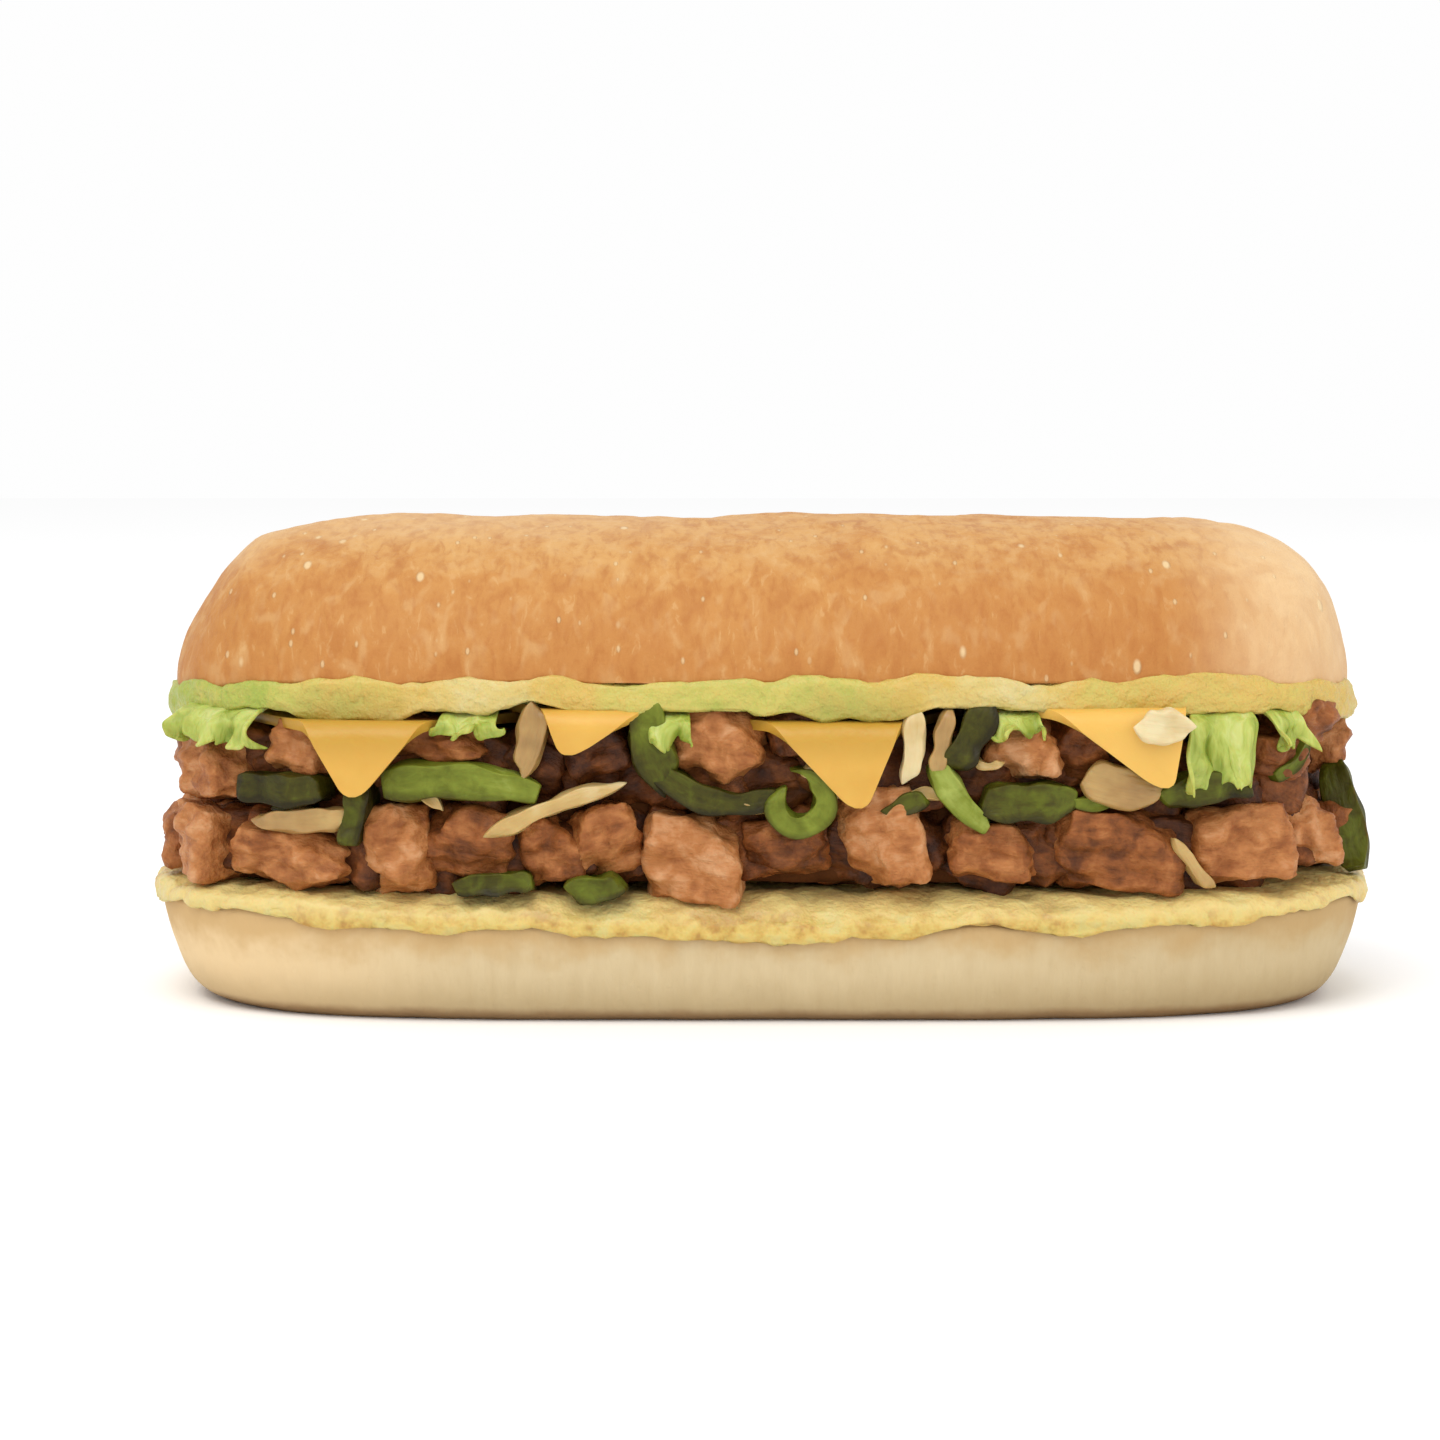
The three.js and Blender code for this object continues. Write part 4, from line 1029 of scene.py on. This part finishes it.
def slivers(draw, count, length, thick, tones):
    """Thin bits that lie a little deeper in the filling, at random places along both sides."""
    bits = []
    for number in range(count):
        tone = draw.uniform(*tones)
        spot = (draw.uniform(-SLIVER_SPREAD, SLIVER_SPREAD), draw.uniform(*SLIVER_LEVELS),
                draw.uniform(*length), draw.uniform(*thick), 3,
                draw.choice((-1, 1)) * draw.uniform(*SLIVER_BEND), draw.uniform(-SLIVER_TILT, SLIVER_TILT),
                tone, tone + 0.1)
        proud = draw.uniform(*SLIVER_PROUD)
        bits.append(strip(spot, draw, half=number % 2 == 1, proud=proud, cuts=SLIVER_CUTS))
    return bits


def finish_strips(kind, strips, material):
    """Join the strips of a kind into one piece, which stands for all nodes of that kind."""
    nodes = [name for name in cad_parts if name.startswith(kind)]
    finish_piece(join(kind + "_strips", strips), material, kind, *nodes)


def pepper(look):
    """The strips of green pepper and the curled ring."""
    draw = random.Random(11)
    across = {"end": 1, "nod": END_PEPPER_NOD, "proud": END_PEPPER_PROUD}
    strips = [strip(spot, draw, **(across if i == END_PEPPER else {})) for i, spot in enumerate(PEPPER)]
    strips += [strip(spot, draw, half=True) for i, spot in enumerate(PEPPER)
               if spot[2] > BACK_PEPPER and i != END_PEPPER]
    strips += slivers(draw, 10, (5, 8), (1.6, 2.6), (0.15, 0.5))
    finish_strips("pepper", strips, pepper_material(look))


def onion_strip(number, draw, half=False):
    """One strip of onion; the bit that lies on the cheese stands further out."""
    proud = ON_CHEESE_PROUD if number == ON_CHEESE else PROUD
    return strip(ONION[number], draw, half=half, square=0.5, groove=0.2, proud=proud, narrow=0.65)


def onion(look):
    """The strips and bits of onion."""
    draw = random.Random(13)
    strips = [onion_strip(number, draw) for number in range(len(ONION))]
    strips += [onion_strip(number, draw, half=True) for number in BACK_ONION]
    strips += slivers(draw, 14, (4, 9), (1, 1.8), (0.3, 0.7))
    finish_strips("onion", strips, onion_material(look))


def cheese_slice(spot, number):
    """A slice laid across the sandwich, with a corner folded over each side."""
    x, hang, level, left, right = spot
    arc = CHEESE_FOLD * math.pi / 2
    edge = ROLL_WIDTH / 2 + CHEESE_OUT - CHEESE_FOLD
    reach = edge + hang
    rows = 96
    start_alone()
    bpy.ops.mesh.primitive_grid_add(x_subdivisions=14, y_subdivisions=rows, size=2)
    piece = named(f"cheese_slice_{number}")
    grid = read_points(piece)
    u, v = grid[:, 0], grid[:, 1]
    # Rows lie close together over the edge and the corner, and wide apart inside
    far = np.sign(v) * np.interp(np.abs(v), (0, 0.25, 0.6, 1), (0, edge - 4, edge + arc, reach))
    tip = reach - np.abs(far)
    slope = np.where((u < 0) == (far < 0), left, right)
    wide = np.minimum(CHEESE_TIP + slope * tip, CHEESE_HALF)
    wide *= np.where(tip < CHEESE_TIP, np.sqrt(np.clip(1 - (1 - tip / CHEESE_TIP) ** 2, 0, 1)) * 0.6 + 0.4, 1)
    down = np.abs(far) - edge
    turn = np.clip(down, 0, arc) / CHEESE_FOLD
    out = np.where(down < 0, np.abs(far), edge + CHEESE_FOLD * np.sin(turn))
    z = np.where(down < 0, 0, CHEESE_FOLD * (np.cos(turn) - 1)) - np.clip(down - arc, 0, None)
    along = wide * u
    share = np.clip(down / hang, 0, 1)
    out += CHEESE_WAVE * np.sin(along * 0.3 + x) * share * share * (3 - 2 * share)
    out -= 0.5 * share * np.cos(along * 0.22)
    write_points(piece, np.column_stack((x + along, out * np.sign(far), CHEESE_LEVELS[level] + z)))
    modify(piece, "SOLIDIFY", thickness=CHEESE_THICK * MM, offset=0)
    outward(piece)
    modify(piece, "BEVEL", width=0.35 * MM, segments=2, limit_method="ANGLE", angle_limit=math.radians(50))
    return piece


def cheese(look):
    """The four slices of cheese."""
    material = cheese_material(look)
    for number, spot in enumerate(CHEESE, 1):
        finish_piece(cheese_slice(spot, number), material, "cheese", f"cheese_{number}")


def leaf(look, spot, draw, half=False):
    """A ruffled leaf that hangs over the edge."""
    x, wide, hang = spot
    start_alone()
    bpy.ops.mesh.primitive_grid_add(x_subdivisions=40, y_subdivisions=18, size=2)
    piece = bpy.context.object
    grid = read_points(piece)
    u, v = grid[:, 0], (grid[:, 1] + 1) / 2
    lie = (LETTUCE_LOW + LETTUCE_HIGH) / 2
    inside = np.interp(v, LEAF_STEPS, (LEAF_REACH, 3, 0.5, -0.9, -1.4))
    drop = np.interp(v, LEAF_STEPS, (0, 1.4, LEAF_DIP, LEAF_DIP + 1.2, LEAF_DIP + hang))
    phase = x * 1.3
    along = u / 2 * wide * (0.75 + 0.25 * v) + 0.8 * np.sin(v * 4 + phase) * v
    fine = draw.uniform(0, 6)
    loose = np.clip((v - 0.4) / 0.6, 0, 1)
    waves = np.sin(0.85 * along + phase + 3 * v) + 0.35 * np.sin(2.3 * along + fine - 2 * v)
    ruffle = look.leaf_ruffle / MM * loose * waves
    lobes = np.abs(np.sin(0.8 * along + fine)) ** 0.7 + 0.4 * np.abs(np.sin(1.9 * along + phase))
    drop = drop + loose * (LEAF_LOBE * lobes - 0.7)
    place = np.column_stack((along + 0.4 * loose * np.sin(2.1 * along + 1), inside + ruffle, lie - drop))
    curls = np.column_stack([uneven(place, 3.2, x + axis) for axis in range(3)])
    place += LEAF_CURL * loose[:, None] * curls
    write_values(piece, "grain", place + draw.uniform(0, 300))
    write_values(piece, "tone", 0.62 - 0.2 * loose + 0.12 * np.sin(0.85 * along + phase))
    write_posed(piece, place, edge_frame(x, 0, half=half))
    modify(piece, "SOLIDIFY", thickness=LEAF_THICK * MM, offset=0)
    modify(piece, "SUBSURF", levels=1, render_levels=1)
    return piece


def lettuce(look):
    """The lettuce: a thin layer through the sandwich and the leaves that show."""
    draw = random.Random(17)
    layer = core("lettuce_layer", LETTUCE_LOW, LETTUCE_HIGH, LETTUCE_INSET_X, LETTUCE_INSET_Y)
    points = read_points(layer) / MM
    write_values(layer, "grain", points)
    write_values(layer, "tone", np.full(len(points), 0.6))
    leaves = [leaf(look, spot, draw) for spot in LETTUCE]
    leaves += [leaf(look, spot, draw, True) for spot in BACK_LETTUCE]
    piece = join("lettuce_leaves", [layer, *leaves])
    finish_piece(piece, lettuce_material(look), "lettuce", "lettuce")


def stage(look):
    """A pale floor, soft light and the camera at the photo's viewing angle."""
    start_alone()
    bpy.ops.mesh.primitive_plane_add(size=FLOOR_SIZE)
    floor = named("floor")
    paint = Paint("Floor", 1, 0.9, specular=0.0)
    paint.finish("#fbfbfb")
    floor.data.materials.append(paint.material)

    scene = bpy.context.scene
    scene.view_settings.view_transform = "Standard"
    world = bpy.data.worlds.new("Studio")
    world.use_nodes = True
    backdrop = world.node_tree.nodes["Background"]
    backdrop.inputs["Color"].default_value = (1, 1, 1, 1)
    backdrop.inputs["Strength"].default_value = look.surround
    scene.world = world

    for name, place, share in LIGHTS:
        bpy.ops.object.light_add(type="AREA", location=place)
        light = bpy.context.object
        light.name = name
        light.data.size = LIGHT_SIZE
        light.data.energy = look.key * share
        aim = Vector(LIGHT_AIM) - Vector(place)
        light.rotation_euler = aim.to_track_quat("-Z", "Y").to_euler()

    elevation = math.radians(CAMERA_ELEVATION)
    back = Vector((0, -math.cos(elevation), math.sin(elevation)))
    bpy.ops.object.camera_add()
    camera = bpy.context.object
    camera.name = "Photo view"
    camera.data.lens = CAMERA_LENS
    camera.data.sensor_width = CAMERA_SENSOR
    camera.location = (Vector(CAMERA_AIM) + CAMERA_DISTANCE * back) * MM
    camera.rotation_euler = (math.pi / 2 - elevation, 0, 0)
    camera.data.clip_start = 0.01
    scene.camera = camera


# The add-on

def look_colour(name, description, code):
    """A colour that a user can change, from a hex code."""
    return bpy.props.FloatVectorProperty(
        name=name, description=description, default=tint(code), min=0, max=1, size=3, subtype="COLOR")


class SandwichLook(bpy.types.PropertyGroup):
    """Sizes and colours that a user would change."""

    crust: look_colour("Crust", "Deepest tone of the crust", "#cb8843")
    bread: look_colour("Bread", "Darker tone of the roll's pale side", "#d8c094")
    sauce: look_colour("Sauce", "Main tone of the sauce on the lower half", "#e6c86e")
    cheese: look_colour("Cheese", "Lighter tone of the cheese", "#f2bf58")
    sauce_drop: bpy.props.FloatProperty(
        name="Sauce drops", description="How far the sauce runs down at most", default=DROP_MORE * MM,
        min=0, max=0.004, subtype="DISTANCE", unit="LENGTH")
    leaf_ruffle: bpy.props.FloatProperty(
        name="Leaf ruffles", description="How far the leaves wave in and out", default=LEAF_RUFFLE * MM,
        min=0, max=0.004, subtype="DISTANCE", unit="LENGTH")
    brightness: bpy.props.FloatProperty(
        name="Brightness", description="Gain on every food colour", default=0.78, min=0.2, max=1.5,
        subtype="FACTOR")
    surround: bpy.props.FloatProperty(
        name="Surround", description="Strength of the white surround", default=0.99, min=0, max=3)
    key: bpy.props.FloatProperty(
        name="Key light", description="Power of the soft key light", default=9, min=0, max=100,
        unit="POWER")


def operator_for(build):
    """An operator that makes one piece, or one group of like pieces."""
    def execute(self, context):
        build(context.scene.sandwich_look)
        return {"FINISHED"}

    name = build.__name__
    return type("SANDWICH_OT_" + name, (bpy.types.Operator,), {
        "__doc__": build.__doc__, "bl_idname": "sandwich." + name,
        "bl_label": name.replace("_", " ").capitalize(), "execute": execute,
    })


BUILDS = (stage, lower_half, lower_sauce, steak, pepper, onion, cheese, lettuce, upper_sauce, upper_half)
STEPS = [operator_for(build) for build in BUILDS]


class SANDWICH_PT_panel(bpy.types.Panel):
    """Buttons for every piece of the sandwich."""

    bl_label = "Sandwich"
    bl_space_type = "VIEW_3D"
    bl_region_type = "UI"
    bl_category = "Sandwich"

    def draw(self, context):
        look = context.scene.sandwich_look
        for name in SandwichLook.__annotations__:
            self.layout.prop(look, name)
        for operator in STEPS:
            self.layout.operator(operator.bl_idname)


CLASSES = [SandwichLook, *STEPS, SANDWICH_PT_panel]


def register():
    """Register the add-on."""
    for cls in CLASSES:
        bpy.utils.register_class(cls)
    bpy.types.Scene.sandwich_look = bpy.props.PointerProperty(type=SandwichLook)


def unregister():
    """Remove the add-on."""
    del bpy.types.Scene.sandwich_look
    for cls in reversed(CLASSES):
        bpy.utils.unregister_class(cls)


def main():
    """Build the sandwich and write both boxes for comparison."""
    register()
    for build in BUILDS:
        getattr(bpy.ops.sandwich, build.__name__)()


if __name__ == "__main__":
    main()
